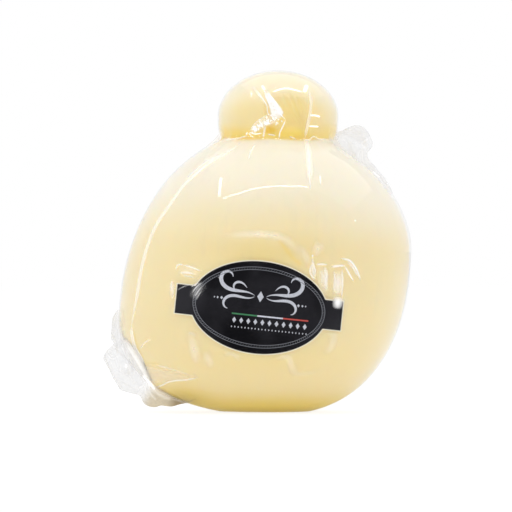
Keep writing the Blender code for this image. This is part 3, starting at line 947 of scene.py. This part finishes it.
HIGH_FLAP = {
    "centre": (15.0, 92.0),
    "root": 21.4,
    "plane": 3.0,
    "span": (-4.0, 66.0),
    "rim": (
        (-4.0, 14.9), (3.0, 12.8), (11.5, 9.9), (20.3, 7.7), (25.5, 7.2), (29.0, 7.9),
        (30.2, 10.6), (33.4, 12.2), (39.8, 13.0), (45.9, 13.2), (49.6, 12.1), (53.2, 9.7),
        (55.7, 6.8), (60.5, 4.6), (66.0, 2.0),
    ),
    "cloudy_from": ((-4.0, -4.0), (66.0, -4.0)),
    "fade": NOWHERE,
    "deep": NOWHERE,
    "strokes": (
        ([(39.0, 110.4), (42.4, 112.6), (46.0, 112.2), (48.2, 109.4)], 0.45, 0.2, 0.1),
        ([(41.0, 104.6), (44.2, 107.6), (45.2, 110.8)], 0.4, 0.18, 0.1),
        ([(44.0, 99.6), (46.6, 103.4), (48.4, 104.6)], 0.35, 0.2, 0.1),
    ),
    "facets": 18,
    "tinge": NOWHERE,
    "seed": 11,
}
LOOSE_TINT = (0.975, 0.977, 0.98, 1.0)
LOOSE_HAZE = (0.86, 0.86, 0.865, 1.0)
CAUGHT_WHEY = (0.70, 0.60, 0.41, 1.0)
FLAP_STEPS = 280
FLAP_RINGS = 90
FLAP_THICKNESS = 0.3
FLAP_HAZE = 0.3
FLAP_DULL = 0.8
FLAP_LAP = 0.6
FLAP_PROUD = 0.3
FACET_LENGTH = 5.5
FACET_DEPTH = 2.8
FACET_RELIEF = 1.3
FACET_SHARPNESS = 9.0
FOLD_LINE = 0.12
RIM_WELD = 0.8


def crumpled(along, out, count, seed):
    """Crumpled film as facets round scattered seeds, twice as long as they are deep. Gives relief from -1 to
    1 and cloudiness from 0 to 1, both means of the seeds' values weighed by exp(-sharpness (d - nearest d)),
    and the fold lines, which run where the two nearest seeds are equally far."""
    draw = np.random.default_rng(seed)
    seeds = draw.uniform((along.min(), out.min()), (along.max(), out.max()), (count, 2))
    heights, clouds, strengths = draw.uniform(0.0, 1.0, (3, count))
    bent = along + 1.2 * np.sin(out / 2.1 + seed) + 0.6 * np.sin(out / 0.9)
    risen = out + 0.8 * np.sin(along / 2.7 + seed) + 0.35 * np.sin(along / 1.1)
    off_along = (bent[..., None] - seeds[:, 0]) / FACET_LENGTH
    distance = np.hypot(off_along, (risen[..., None] - seeds[:, 1]) / FACET_DEPTH)
    nearest = np.sort(distance, axis=-1)[..., :2]
    weights = np.exp(-FACET_SHARPNESS * (distance - nearest[..., :1]))
    weights /= weights.sum(axis=-1, keepdims=True)
    folds = np.exp(-(((nearest[..., 1] - nearest[..., 0]) / FOLD_LINE) ** 2))
    folds = folds * (weights * strengths).sum(axis=-1)
    return (weights * (2.0 * heights - 1.0)).sum(axis=-1), (weights * clouds).sum(axis=-1), folds


def along_rim(degrees, corners):
    """A value in millimetres at each angle: straight between the corners, then the mean of near angles."""
    places, values = np.transpose(corners)
    near = [np.interp(degrees + shift, places, values) for shift in (-0.8, -0.4, 0.0, 0.4, 0.8)]
    return np.mean(near, axis=0)


def film_corner(name, flap):
    """A crumpled flap in polar form round a centre in the ball, laid on the ball where that stands proud."""
    degrees = np.linspace(*flap["span"], FLAP_STEPS)[None, :]
    share = np.linspace(0.0, 1.0, FLAP_RINGS)[:, None]
    reach = along_rim(degrees, flap["rim"])
    inner = flap["root"] + along_rim(degrees, flap["cloudy_from"])
    radius = inner - FLAP_LAP + (flap["root"] + reach - inner + FLAP_LAP) * share
    turn = np.radians(degrees)
    x = flap["centre"][0] + radius * np.cos(turn)
    z = flap["centre"][1] + radius * np.sin(turn)
    relief, cloud, folds = crumpled(flap["root"] * turn, radius, flap["facets"], flap["seed"])
    free = smooth_step(share, 0.0, 0.3)
    y = flap["plane"] + free * (FACET_RELIEF * relief + 0.9 * np.sin(degrees / 5.0))
    front = on_front(x, z, np.zeros_like(x))
    covered = (np.abs(front[..., 0] - x) < FLAP_PROUD) & (flap["plane"] < 0.0)
    off_front = 0.15 + free * (0.5 + 0.3 * relief)
    y = np.where(covered, np.minimum(y, front[..., 1] - off_front), y)
    rim = np.exp(-(((radius - flap["root"] - reach + 0.5 * RIM_WELD) / RIM_WELD) ** 2))
    tinge = smooth_step(degrees, *flap["tinge"])
    clouded = smooth_step(radius - inner, -FLAP_LAP, 2.0 * FLAP_LAP)
    clouded = clouded * (1.0 - smooth_step(degrees, *flap["fade"]))
    white = np.zeros_like(x)
    # Painted light: the flap glows where it lies on the ball and along its strokes.
    shine = 0.14 * covered
    for path, width, haze, glint in flap["strokes"]:
        near = near_path(x, z, path, width)
        white += haze * near
        shine = np.maximum(shine, glint * near)
    y = y - 0.4 * np.minimum(white, 1.0)
    milk = FLAP_HAZE + 0.08 * cloud + 0.16 * folds + 0.1 * rim + 0.5 * tinge + 0.2 * covered + white
    near_border = 1.0 - smooth_step(np.minimum(share, 1.0 - share), 0.0, 0.03)
    marks = {
        "haze": milk * clouded,
        "crinkle": np.full_like(x, 0.02),
        "glint": shine,
        "dull": np.broadcast_to(np.maximum(FLAP_DULL, near_border), x.shape),
        "tinge": 0.9 * tinge * (1.0 - 0.6 * np.minimum(white, 1.0)),
        "deep": np.broadcast_to(0.9 * smooth_step(degrees, *flap["deep"]), x.shape),
    }
    points = np.stack([x, y, z], axis=-1)
    piece = add_piece(name, points.reshape(-1, 3), sheet_faces(FLAP_RINGS, FLAP_STEPS), loose_film, marks)
    wall = piece.modifiers.new("bag_walls", "SOLIDIFY")
    wall.thickness = FLAP_THICKNESS * MM
    wall.offset = 0.0
    return piece


loose_film = film_finish("film_loose", LOOSE_TINT, LOOSE_HAZE, CAUGHT_WHEY, 0.0)
film_corner("film_corner_low", LOW_FLAP)
film_corner("film_corner_high", HIGH_FLAP)

# The film's pleats.
# Where the bag had more film than the cheese needs, the film doubled over into narrow ridges that stay
# whitish, and broader puckers whiten it too. Where they would catch the light, painted highlights stand in,
# as whitish haze and a glow. The longest runs from the neck down the left flank.
PLEAT_STEPS = 80
PLEAT_ACROSS = 9
PLEAT_ROOT = 0.03
PLEAT_BORDER_HAZE = 0.3


def pleat(path, widths, haze, rise=0.15, hollow=0.0, soft=0.0, crinkle=0.2, glint=0.0, tinge=0.0, back=False):
    """A ridge along a path of x and z. Its half width runs from widths[0] to widths[1] and narrows at both
    ends, less so if soft. Across it, the film rises as rise (1 - s^4), and its haze is 1 - hollow (1 - s^2),
    times (1 - s^2)^2 if soft. Its glint paints a highlight in as glow. Gives its points and marks."""
    way = smooth_path(path, PLEAT_STEPS)
    run = np.gradient(way, axis=0)
    run /= np.linalg.norm(run, axis=1, keepdims=True)
    share = np.linspace(0.0, 1.0, PLEAT_STEPS)[:, None]
    taper = np.clip(np.minimum(share, 1.0 - share) * 6.0, 0.0, 1.0) ** 0.6
    across = np.linspace(-1.0, 1.0, PLEAT_ACROSS)[None, :] * (-1.0 if back else 1.0)
    offset = across * (taper + 0.6 * soft * (1.0 - taper)) * (widths[0] + (widths[1] - widths[0]) * share)
    x = way[:, :1] + run[:, 1:] * offset
    z = way[:, 1:] - run[:, :1] * offset
    angle = angle_at(x, z) * (-1.0 if back else 1.0)
    bump = rise * taper * (1.0 - across**4) - PLEAT_ROOT
    faded = 1.0 - soft + soft * (1.0 - across**2) ** 2
    ends = (1.0 - soft) * taper + soft * np.sin(math.pi * share)
    border = np.where(np.abs(across) > 0.99, PLEAT_BORDER_HAZE, 1.0)
    cloud = haze * ends * (1.0 - hollow * (1.0 - across**2)) * faded * border
    marks = {"haze": cloud}
    for mark, value in (("crinkle", crinkle), ("glint", glint), ("tinge", tinge), ("dull", 1.0)):
        marks[mark] = np.full_like(cloud, value)
    return off_form(z, angle, film_lift(z, angle) + bump), marks


def pleats(rows, **options):
    """A ridge for each row of path, widths and haze, all with the same options."""
    return [pleat(path, widths, haze, **options) for path, widths, haze in rows]


def join_pleats(name, ridges):
    """One piece from many ridges, each with its marks."""
    faces = []
    for number, (grid, marks) in enumerate(ridges):
        faces += sheet_faces(*marks["haze"].shape, number * marks["haze"].size)
    points = np.vstack([grid.reshape(-1, 3) for grid, marks in ridges])
    joined = {mark: np.concatenate([marks[mark].ravel() for grid, marks in ridges]) for mark in ridges[0][1]}
    add_piece(name, points, faces, tight_film, joined)


LEFT_PLEAT = [
    (-10.4, 110.9), (-15.4, 106.8), (-19.9, 104.2), (-25.8, 100.4), (-30.7, 95.9), (-33.5, 93.4),
    (-37.9, 87.4), (-45.6, 76.0), (-51.0, 60.6), (-53.2, 48.0), (-55.8, 33.6),
]
LEFT_STRAND = [(-18.6, 105.6), (-21.6, 104.1), (-25.7, 101.8), (-29.3, 98.9), (-33.4, 95.0)]
LEFT_PLEAT_FOOT = [(-55.4, 35.7), (-55.2, 31.6), (-54.0, 26.9), (-51.4, 22.2), (-50.0, 19.5)]
CORNER_UPPER = [(-50.4, 20.7), (-43.3, 19.4), (-36.6, 17.5), (-28.2, 15.2)]
CORNER_LOWER = [
    (-46.6, 10.0), (-45.0, 10.6), (-43.3, 11.3), (-40.9, 12.6), (-38.6, 13.3), (-33.2, 13.9), (-27.8, 15.1),
]
CORNER_WEB = [(-53.4, 17.2), (-46.7, 15.7), (-39.9, 15.3), (-28.5, 15.0)]
CORNER_ARC = [(-51.8, 26.3), (-50.4, 28.4), (-47.3, 30.6)]
CORNER_BAND = [(-58.6, 30.6), (-56.1, 27.0), (-53.8, 23.4), (-51.4, 19.2), (-49.6, 15.8), (-47.9, 12.8)]
flank_pleats = [
    pleat(LEFT_PLEAT, (0.6, 0.75), 0.62, rise=0.3, hollow=0.35, crinkle=0.2),
    pleat(LEFT_PLEAT_FOOT, (0.75, 0.7), 0.65, rise=0.3, hollow=0.3, crinkle=0.2),
    pleat(LEFT_STRAND, (0.35, 0.35), 0.5, rise=0.25, soft=0.3),
    pleat(CORNER_UPPER, (0.8, 0.6), 0.25, soft=1.0, crinkle=0.0),
    pleat(CORNER_LOWER, (0.4, 0.4), 0.6, soft=0.4, crinkle=0.0),
    pleat(CORNER_WEB, (4.8, 0.6), 0.42, rise=0.12, soft=0.3, crinkle=0.0, tinge=0.9),
    pleat(CORNER_ARC, (0.4, 0.4), 0.4, soft=0.5, crinkle=0.0),
    # Its glint paints light into the band, which lies in the low flap's shade.
    pleat(CORNER_BAND, (1.7, 1.6), 0.8, rise=0.6, soft=0.8, crinkle=0.4, glint=0.25, tinge=0.15),
]
join_pleats("film_pleats_left", flank_pleats)

BACK_PLEAT = [(12.0, 110.4), (23.0, 102.6), (33.0, 91.6), (41.0, 76.0), (45.5, 58.0), (46.6, 40.0)]
BACK_BAND = [(-13.0, 109.6), (-18.6, 101.0), (-22.4, 90.0)]
BACK_RIDGES = (
    ([(-30.4, 61.0), (-26.2, 57.6), (-21.0, 56.2)], (0.5, 0.35), 0.4),
    ([(-33.2, 53.0), (-30.4, 47.4), (-29.6, 41.0)], (0.45, 0.4), 0.38),
    ([(7.6, 71.0), (12.4, 66.2), (18.6, 63.8)], (0.5, 0.35), 0.4),
    ([(19.4, 41.0), (23.0, 34.6), (24.2, 27.0)], (0.5, 0.4), 0.36),
    ([(-6.4, 34.2), (0.2, 31.0), (7.2, 31.4)], (0.4, 0.35), 0.3),
    ([(-51.0, 22.6), (-45.4, 17.8), (-37.6, 13.6)], (0.75, 0.45), 0.45),
    ([(-52.6, 28.4), (-45.0, 23.6), (-36.0, 20.6)], (0.6, 0.4), 0.4),
    ([(31.4, 98.0), (25.0, 93.4), (19.6, 86.0)], (0.6, 0.45), 0.45),
    ([(37.0, 92.4), (31.6, 86.2), (28.6, 78.6)], (0.55, 0.4), 0.4),
)
BACK_VEILS = (
    ([(-24.4, 66.4), (-14.0, 69.4), (-3.0, 69.0)], (2.4, 2.0), 0.24),
    ([(26.4, 52.4), (27.6, 42.0), (25.2, 32.6)], (2.6, 2.2), 0.24),
    ([(-34.0, 30.4), (-26.2, 24.2), (-16.0, 20.4)], (2.4, 2.0), 0.2),
    ([(-2.0, 52.0), (4.6, 47.0), (8.0, 40.0)], (2.2, 2.0), 0.18),
)
back_pleats = [
    pleat(BACK_PLEAT, (0.6, 0.75), 0.6, rise=0.3, hollow=0.35, back=True),
    pleat(BACK_BAND, (1.2, 1.9), 0.45, rise=0.15, soft=0.8, crinkle=0.0, back=True),
]
back_pleats += pleats(BACK_RIDGES, soft=0.5, crinkle=0.0, back=True)
back_pleats += pleats(BACK_VEILS, rise=0.3, soft=1.0, crinkle=0.0, back=True)
join_pleats("film_pleats_back", back_pleats)

CROWN_PLEAT = [(16.4, 132.0), (17.5, 127.5), (17.2, 122.5), (15.8, 116.0), (14.9, 111.5)]
CROWN_PLEAT_FOOT = [(16.2, 101.0), (16.8, 96.0), (17.2, 90.5)]
CROWN_BAND = [(15.4, 112.4), (16.3, 106.0), (16.7, 101.0), (17.0, 94.5)]
# Painted highlights: whitish ridges that glow where the film would catch the soft box.
SHOULDER_HIGHLIGHT = [(21.0, 96.8), (21.3, 93.0)]
SHOULDER_SPARK = [(42.4, 98.5), (46.0, 95.7)]
KNOT_VEIL = [(-6.2, 133.0), (-3.2, 129.2), (-0.6, 124.8)]
KNOT_TRIANGLE = [(-1.6, 131.2), (1.2, 127.0), (3.4, 122.6), (4.2, 119.6)]
KNOT_EDGE_RIGHT = [(-0.6, 131.8), (0.6, 129.8), (3.0, 125.7), (5.2, 121.6), (7.4, 119.2)]
KNOT_EDGE_LEFT = [(-4.8, 131.4), (-2.4, 128.2), (-0.4, 124.7), (-0.2, 122.4), (1.2, 120.4)]
KNOT_PATCH = [(4.4, 120.0), (-1.0, 118.6), (-4.8, 116.0), (-6.8, 113.6)]
KNOT_PATCH_TOP = [(1.4, 122.2), (-2.9, 119.8), (-5.9, 117.2), (-7.5, 114.4)]
KNOT_PATCH_FOOT = [(3.4, 118.8), (0.0, 117.6), (-2.6, 117.0), (-4.6, 115.2), (-6.2, 113.4)]
KNOT_TICKS = (
    [(-6.0, 117.0), (-4.4, 114.6)],
    [(-7.4, 114.2), (-4.8, 113.6), (-2.4, 114.0)],
    [(-3.6, 119.0), (-2.2, 117.2)],
)
KNOT_CRUMPLES = 42
KNOT_CRUMPLE_SEED = 17
KNOT_CRUMPLE_SPREAD = 1.7
KNOT_LINE_RIGHT = [(7.2, 119.4), (6.2, 117.2), (4.9, 114.4), (4.4, 111.4)]
KNOT_LINE_LEFT = [(-1.2, 117.0), (-1.6, 114.4), (-2.0, 111.9)]
# Painted highlights: the arc over the hood and the sparks beside it and on the right lobe.
HOOD_HIGHLIGHT = [(-0.6, 129.6), (2.2, 130.8), (5.0, 131.9), (7.6, 132.2), (11.4, 131.5), (14.9, 130.5)]
HOOD_SPARK_RIGHT = [(14.8, 130.6), (15.9, 133.8)]
HOOD_SPARK_LEFT = [(-2.5, 133.4), (-1.2, 131.4)]
LOBE_SPARK_HIGH = [(16.9, 121.2), (19.4, 121.2), (21.4, 120.6)]
LOBE_SPARK_LOW = [(16.4, 116.9), (20.8, 116.7)]
NECK_WRINKLES = (
    [(-0.2, 113.6), (3.2, 113.0)],
    [(5.6, 114.4), (8.4, 112.9), (11.6, 111.4)],
    [(13.4, 111.6), (16.4, 111.0), (18.6, 112.6), (20.6, 111.6), (24.4, 111.6)],
    [(-17.6, 111.0), (-12.4, 111.8), (-7.8, 112.8)],
)
NECK_STROKE = [(-5.3, 109.5), (-6.9, 106.6), (-8.2, 103.3)]
# A painted highlight on the right flank.
FLANK_HIGHLIGHT = [(34.9, 78.7), (35.2, 78.1)]
# Where a glint is given, it paints a highlight into the ridge as glow.
head_pleats = [
    pleat(CROWN_PLEAT, (0.55, 0.7), 0.5, rise=0.25, hollow=0.35),
    pleat(CROWN_PLEAT_FOOT, (0.3, 0.25), 0.4),
    pleat(CROWN_BAND, (1.2, 1.9), 0.55, rise=0.12, soft=0.8, crinkle=0.0),
    pleat(SHOULDER_HIGHLIGHT, (0.4, 0.3), 0.6, glint=0.3),
    pleat(SHOULDER_SPARK, (0.35, 0.3), 0.6, glint=0.3),
    pleat(KNOT_VEIL, (0.9, 1.0), 0.3, soft=0.8, crinkle=0.0),
    pleat(KNOT_TRIANGLE, (0.7, 3.2), 0.95, rise=0.2, hollow=0.1, crinkle=0.5, glint=0.08),
    pleat(KNOT_EDGE_RIGHT, (0.22, 0.24), 0.9, rise=0.45, glint=0.3),
    pleat(KNOT_EDGE_LEFT, (0.22, 0.22), 0.7, rise=0.45, glint=0.2),
    pleat(KNOT_PATCH, (2.2, 1.7), 0.55, rise=0.3, soft=0.8, crinkle=1.4, glint=0.1),
    pleat(KNOT_PATCH_TOP, (0.2, 0.22), 0.5, rise=0.45, crinkle=1.2, glint=0.15),
    pleat(KNOT_PATCH_FOOT, (0.2, 0.22), 0.45, rise=0.45, crinkle=1.2, glint=0.15),
    pleat(KNOT_LINE_RIGHT, (0.28, 0.28), 0.75, glint=0.2),
    pleat(KNOT_LINE_LEFT, (0.5, 0.4), 0.55, glint=0.1),
    pleat(HOOD_HIGHLIGHT, (0.3, 0.32), 0.95, rise=0.08, glint=0.7),
    pleat(HOOD_SPARK_RIGHT, (0.7, 0.8), 0.95, rise=0.08, glint=1.0),
    pleat(HOOD_SPARK_LEFT, (0.45, 0.5), 0.9, rise=0.08, glint=0.8),
    pleat(LOBE_SPARK_HIGH, (0.35, 0.4), 0.95, rise=0.08, glint=0.9),
    pleat(LOBE_SPARK_LOW, (0.3, 0.35), 0.95, rise=0.08, glint=0.8),
    pleat(NECK_STROKE, (0.35, 0.25), 0.4),
    pleat(FLANK_HIGHLIGHT, (0.35, 0.35), 0.95, soft=0.5, glint=1.0),
]
head_pleats += [pleat(path, (0.35, 0.35), 0.4, rise=0.3, crinkle=1.0) for path in NECK_WRINKLES]
head_pleats += [pleat(path, (0.25, 0.25), 0.85, rise=0.55, crinkle=0.8, glint=0.5) for path in KNOT_TICKS]
crumple_draw = np.random.default_rng(KNOT_CRUMPLE_SEED)
middles = smooth_path(KNOT_PATCH, KNOT_CRUMPLES)
middles += crumple_draw.uniform(-KNOT_CRUMPLE_SPREAD, KNOT_CRUMPLE_SPREAD, middles.shape)
bearings = crumple_draw.uniform(0.0, math.pi, KNOT_CRUMPLES)
half_lengths = crumple_draw.uniform(0.3, 0.9, KNOT_CRUMPLES)
steps = half_lengths[:, None] * np.stack([np.cos(bearings), np.sin(bearings)], axis=-1)
for middle, step in zip(middles, steps):
    crumple = [middle - step, middle, middle + step]
    head_pleats.append(pleat(crumple, (0.26, 0.2), 0.85, rise=0.5, crinkle=0.6, glint=0.3))
join_pleats("film_pleats_head", head_pleats)

# The film's pull round the label.
# The label's stiff corners hold the film off the curd, so it stands in short straight ridges beside them and
# lies cloudy over the paper at the upper left. The veils and streaks are partly the film's own milkiness and
# partly painted highlight for the sheen of its wrinkles, and a painted glare lies over the right bar.
LEFT_RIDGES = (
    ([(-37.1, 58.5), (-36.7, 60.2), (-35.6, 60.7), (-34.1, 60.5)], (0.4, 0.4), 0.6),
    ([(-34.1, 60.5), (-31.0, 59.6), (-26.9, 58.0)], (0.5, 0.35), 0.6),
    ([(-35.6, 57.3), (-32.6, 57.4), (-29.5, 56.8)], (0.6, 0.35), 0.55),
    ([(-34.5, 56.2), (-31.8, 55.9), (-29.4, 55.3)], (0.4, 0.3), 0.35),
    ([(-38.7, 54.4), (-39.1, 52.1), (-38.9, 49.4)], (0.55, 0.45), 0.5),
    ([(-37.6, 53.2), (-38.0, 50.0), (-38.2, 46.2)], (0.4, 0.4), 0.35),
    ([(-36.4, 50.2), (-33.7, 51.7), (-30.7, 52.6)], (0.35, 0.3), 0.24),
    ([(-19.9, 55.9), (-18.5, 54.4)], (0.5, 0.3), 0.25),
)
RIGHT_RIDGES = (
    ([(17.9, 61.1), (16.9, 59.1), (17.2, 56.5), (19.3, 54.3)], (0.4, 0.35), 0.6),
    ([(17.8, 63.9), (18.2, 60.5), (19.0, 58.3), (18.3, 55.9)], (0.4, 0.35), 0.6),
    ([(19.3, 60.7), (21.5, 60.9), (23.9, 60.7)], (0.5, 0.45), 0.75),
    ([(25.3, 59.9), (28.2, 60.2), (31.1, 60.4)], (0.6, 0.5), 0.8),
    ([(22.6, 60.0), (23.4, 57.0), (23.2, 53.8), (23.5, 50.5)], (0.9, 0.8), 0.6),
    ([(21.2, 58.6), (21.9, 55.9), (21.5, 53.2)], (0.4, 0.4), 0.35),
    ([(29.8, 59.2), (30.0, 53.2), (29.6, 47.0)], (0.5, 0.45), 0.65),
    ([(26.6, 58.6), (26.9, 54.3), (26.4, 49.4)], (0.5, 0.6), 0.4),
    ([(29.1, 63.3), (32.8, 62.3), (35.4, 59.2), (37.4, 54.2)], (0.55, 0.5), 0.95),
    ([(30.9, 60.2), (32.7, 57.0), (34.7, 53.8)], (0.5, 0.4), 0.8),
    ([(31.8, 62.1), (34.2, 59.4), (36.1, 55.9)], (0.4, 0.4), 0.6),
    ([(17.7, 63.8), (18.0, 64.8)], (0.4, 0.4), 0.9),
)
VEILS = (
    ([(-36.7, 58.1), (-31.8, 58.1), (-27.2, 56.2)], (3.6, 3.0), 0.2),
    ([(-38.4, 53.8), (-38.6, 50.0), (-38.5, 46.7)], (1.8, 1.6), 0.22),
    ([(22.0, 69.6), (20.0, 67.4), (18.6, 64.0)], (3.8, 1.4), 0.26),
    ([(18.0, 62.4), (18.0, 58.4), (18.8, 54.8)], (1.3, 1.3), 0.55),
    ([(11.6, 69.0), (14.6, 65.0), (16.6, 60.0)], (2.2, 2.0), 0.2),
    ([(28.0, 58.6), (28.0, 53.2), (27.8, 47.8)], (2.6, 2.6), 0.62),
    ([(20.1, 60.2), (22.0, 57.0), (22.3, 52.1), (23.4, 48.9)], (3.2, 2.6), 0.32),
    (
        [(-19.0, 72.6), (-10.2, 73.0), (-1.5, 73.0), (3.9, 72.2), (7.9, 70.3), (11.0, 67.6), (13.4, 65.0)],
        (2.0, 2.4),
        0.27,
    ),
    ([(-25.8, 53.8), (-28.3, 50.2), (-30.2, 46.7)], (3.0, 2.4), 0.2),
)
LABEL_STREAKS = (
    ([(-26.4, 53.5), (-28.5, 51.6), (-30.4, 49.2)], (0.4, 0.35), 0.5),
    ([(-26.3, 51.9), (-28.0, 49.7), (-29.5, 47.5)], (0.35, 0.3), 0.45),
    ([(-26.5, 50.2), (-27.7, 48.3), (-28.8, 46.2)], (0.3, 0.3), 0.35),
    ([(-27.5, 53.2), (-29.2, 52.6), (-30.7, 51.5)], (0.4, 0.3), 0.45),
)
# A painted glare over the right bar's upper end.
BAR_GLARE = [(28.2, 48.1), (27.8, 45.6), (27.5, 42.9)]
LOW_STREAKS = (
    ([(-32.1, 33.2), (-30.4, 29.4), (-29.2, 24.6), (-28.3, 20.2)], (3.0, 2.6), 0.26),
    ([(-33.1, 32.9), (-30.7, 32.9), (-28.3, 31.6)], (1.4, 1.2), 0.16),
    ([(-25.6, 26.2), (-23.9, 22.4), (-22.3, 18.6)], (2.4, 2.2), 0.24),
    ([(-18.3, 24.3), (-14.5, 24.8), (-10.7, 21.6)], (1.6, 1.4), 0.16),
    ([(2.3, 23.2), (7.7, 23.5), (9.6, 19.7), (11.2, 15.4)], (1.8, 2.2), 0.22),
    ([(22.8, 32.9), (26.1, 32.1), (25.3, 27.3), (22.6, 24.6)], (2.4, 2.0), 0.2),
    ([(8.2, 17.5), (14.7, 16.7), (20.1, 18.1)], (1.4, 1.4), 0.1),
)
label_pleats = pleats(LEFT_RIDGES + RIGHT_RIDGES, soft=0.5, crinkle=0.0)
label_pleats += pleats(VEILS + LOW_STREAKS, rise=0.3, soft=1.0, crinkle=0.0)
label_pleats += pleats(LABEL_STREAKS, soft=0.6, crinkle=0.3)
label_pleats.append(pleat(BAR_GLARE, (2.6, 2.0), 0.9, rise=0.12, soft=0.8, crinkle=0.0, glint=0.25))
join_pleats("film_pleats_label", label_pleats)

# The photo set.
# A pale floor in a white surround that is dim behind the camera, one large soft box overhead whose front and
# left edges shine brighter, and a long lens just above the table.
FLOOR_RADIUS = 4.0
FLOOR_SIDES = 64
FLOOR_DROP = 0.0002
FLOOR_COLOUR = (0.62, 0.62, 0.62, 1.0)
FLOOR_GRAIN = (0.60, 0.60, 0.60, 1.0)
FLOOR_OVEREXPOSED = (0.25, 0.25, 0.25, 1.0)
FLOOR_GLOW = 0.36
FLOOR_SEEN_GLOW = 0.85
CAMERA_DISTANCE = 3.0
CAMERA_ELEVATION = math.radians(0.5)
FRAME_WIDTH = 0.20992
FRAME_MIDDLE = (-0.0049, 0.0, 0.0638)
LIGHT_HEIGHT = 0.85
WALL_GLOW = 1.12
BACK_GLOW = 0.9
CEILING_GLOW = 0.4
CAMERA_SIDE_GLOW = 0.98
SOFT_BOX_GLOW = 0.61
EDGE_GLOW = 14.0
EDGE_DROP = 0.01
SOFT_BOX = ((-0.50, 0.27), (0.95, 0.27))
SOFT_BOX_WIDTH = 1.08
FRONT_EDGE = (
    (-0.566, -0.289), (-0.378, -0.315), (-0.278, -0.303), (0.106, -0.289), (0.224, -0.258), (0.263, -0.261),
)
LEFT_EDGE = ((-0.588, -0.238), (-0.518, -0.103), (-0.452, 0.025))
EDGES = (("front_edge", FRONT_EDGE, 0.022), ("left_edge", LEFT_EDGE, 0.036))


def paper(wire, colour, specular, glow):
    """Rough paper that glows by as much as the lens overexposes it."""
    sockets = {
        "Base Color": colour,
        "Roughness": 0.9,
        "Specular IOR Level": specular,
        "Emission Color": (glow, glow, glow, 1.0),
        "Emission Strength": 1.0,
    }
    return wire.principled(sockets)


def floor_finish():
    """Pale sweep paper with a faint grain. The lens sees it overexposed to white, with a trace of shadow."""
    material, wire = new_finish("floor_paper")
    grain = wire.noise(wire.place(), 60.0, 2.0)
    plain = paper(wire, grain.tint(FLOOR_GRAIN, FLOOR_COLOUR), 0.1, FLOOR_GLOW)
    bright = paper(wire, FLOOR_OVEREXPOSED, 0.0, FLOOR_SEEN_GLOW)
    seen = wire.node("ShaderNodeLightPath", {}, {})
    wire.surface(wire.mixed(seen, plain, bright))
    return material


floor_turn = np.arange(FLOOR_SIDES) * 2.0 * math.pi / FLOOR_SIDES
floor_level = np.full(FLOOR_SIDES, -FLOOR_DROP)
rim = np.stack([FLOOR_RADIUS * np.cos(floor_turn), FLOOR_RADIUS * np.sin(floor_turn), floor_level], axis=-1)
floor_mesh = bpy.data.meshes.new("floor")
floor_mesh.from_pydata(rim.tolist(), [], [list(range(FLOOR_SIDES))])
floor_mesh.materials.append(floor_finish())
floor = bpy.data.objects.new("floor", floor_mesh)
bpy.context.scene.collection.objects.link(floor)

world = bpy.data.worlds.new("surround")
world.use_nodes = True
world.node_tree.nodes.clear()
bpy.context.scene.world = world
wire = Wire(world.node_tree)
direction = {0: wire.node("ShaderNodeTexCoord", {}, {})}
backward = wire.node("ShaderNodeSeparateXYZ", {}, direction, out=1)
overhead = wire.node("ShaderNodeSeparateXYZ", {}, direction, out=2).ramp(0.35, 0.8)
camera_side = (0.0 - backward).ramp(0.74, 0.94)
behind = backward.ramp(-0.1, 0.5)
seen = wire.node("ShaderNodeLightPath", {}, {})
sides = WALL_GLOW + behind * (BACK_GLOW - WALL_GLOW)
walls = sides + overhead * (CEILING_GLOW - sides)
glow = wire.math("MAXIMUM", seen, walls + camera_side * (CAMERA_SIDE_GLOW - walls))
background = wire.node("ShaderNodeBackground", {}, {"Color": (1.0, 1.0, 1.0, 1.0), "Strength": glow})
wire.node("ShaderNodeOutputWorld", {}, {"Surface": background})


def add_overhead(name, start, end, width, radiance, drop=0.0):
    """A light facing straight down that runs from start to end. Its power is four times radiance times
    area."""
    run = (end[0] - start[0], end[1] - start[1])
    light = bpy.data.lights.new(name, "AREA")
    light.shape = "RECTANGLE"
    light.size = math.hypot(*run)
    light.size_y = width
    light.energy = 4.0 * radiance * light.size * width
    lamp = bpy.data.objects.new(name, light)
    lamp.location = ((start[0] + end[0]) / 2.0, (start[1] + end[1]) / 2.0, LIGHT_HEIGHT - drop)
    lamp.rotation_euler = (0.0, 0.0, math.atan2(run[1], run[0]))
    lamp.visible_camera = False
    bpy.context.scene.collection.objects.link(lamp)


add_overhead("soft_box", *SOFT_BOX, SOFT_BOX_WIDTH, SOFT_BOX_GLOW)
for name, corners, width in EDGES:
    for number, (start, end) in enumerate(zip(corners[:-1], corners[1:])):
        add_overhead(f"{name}_{number}", start, end, width, EDGE_GLOW, EDGE_DROP)

camera_data = bpy.data.cameras.new("camera")
camera_data.lens = camera_data.sensor_width * CAMERA_DISTANCE / FRAME_WIDTH
camera = bpy.data.objects.new("camera", camera_data)
camera.location = (
    FRAME_MIDDLE[0],
    FRAME_MIDDLE[1] - CAMERA_DISTANCE * math.cos(CAMERA_ELEVATION),
    FRAME_MIDDLE[2] + CAMERA_DISTANCE * math.sin(CAMERA_ELEVATION),
)
camera.rotation_euler = (math.pi / 2.0 - CAMERA_ELEVATION, 0.0, 0.0)
bpy.context.scene.collection.objects.link(camera)
bpy.context.scene.camera = camera
bpy.context.scene.view_settings.view_transform = "Standard"
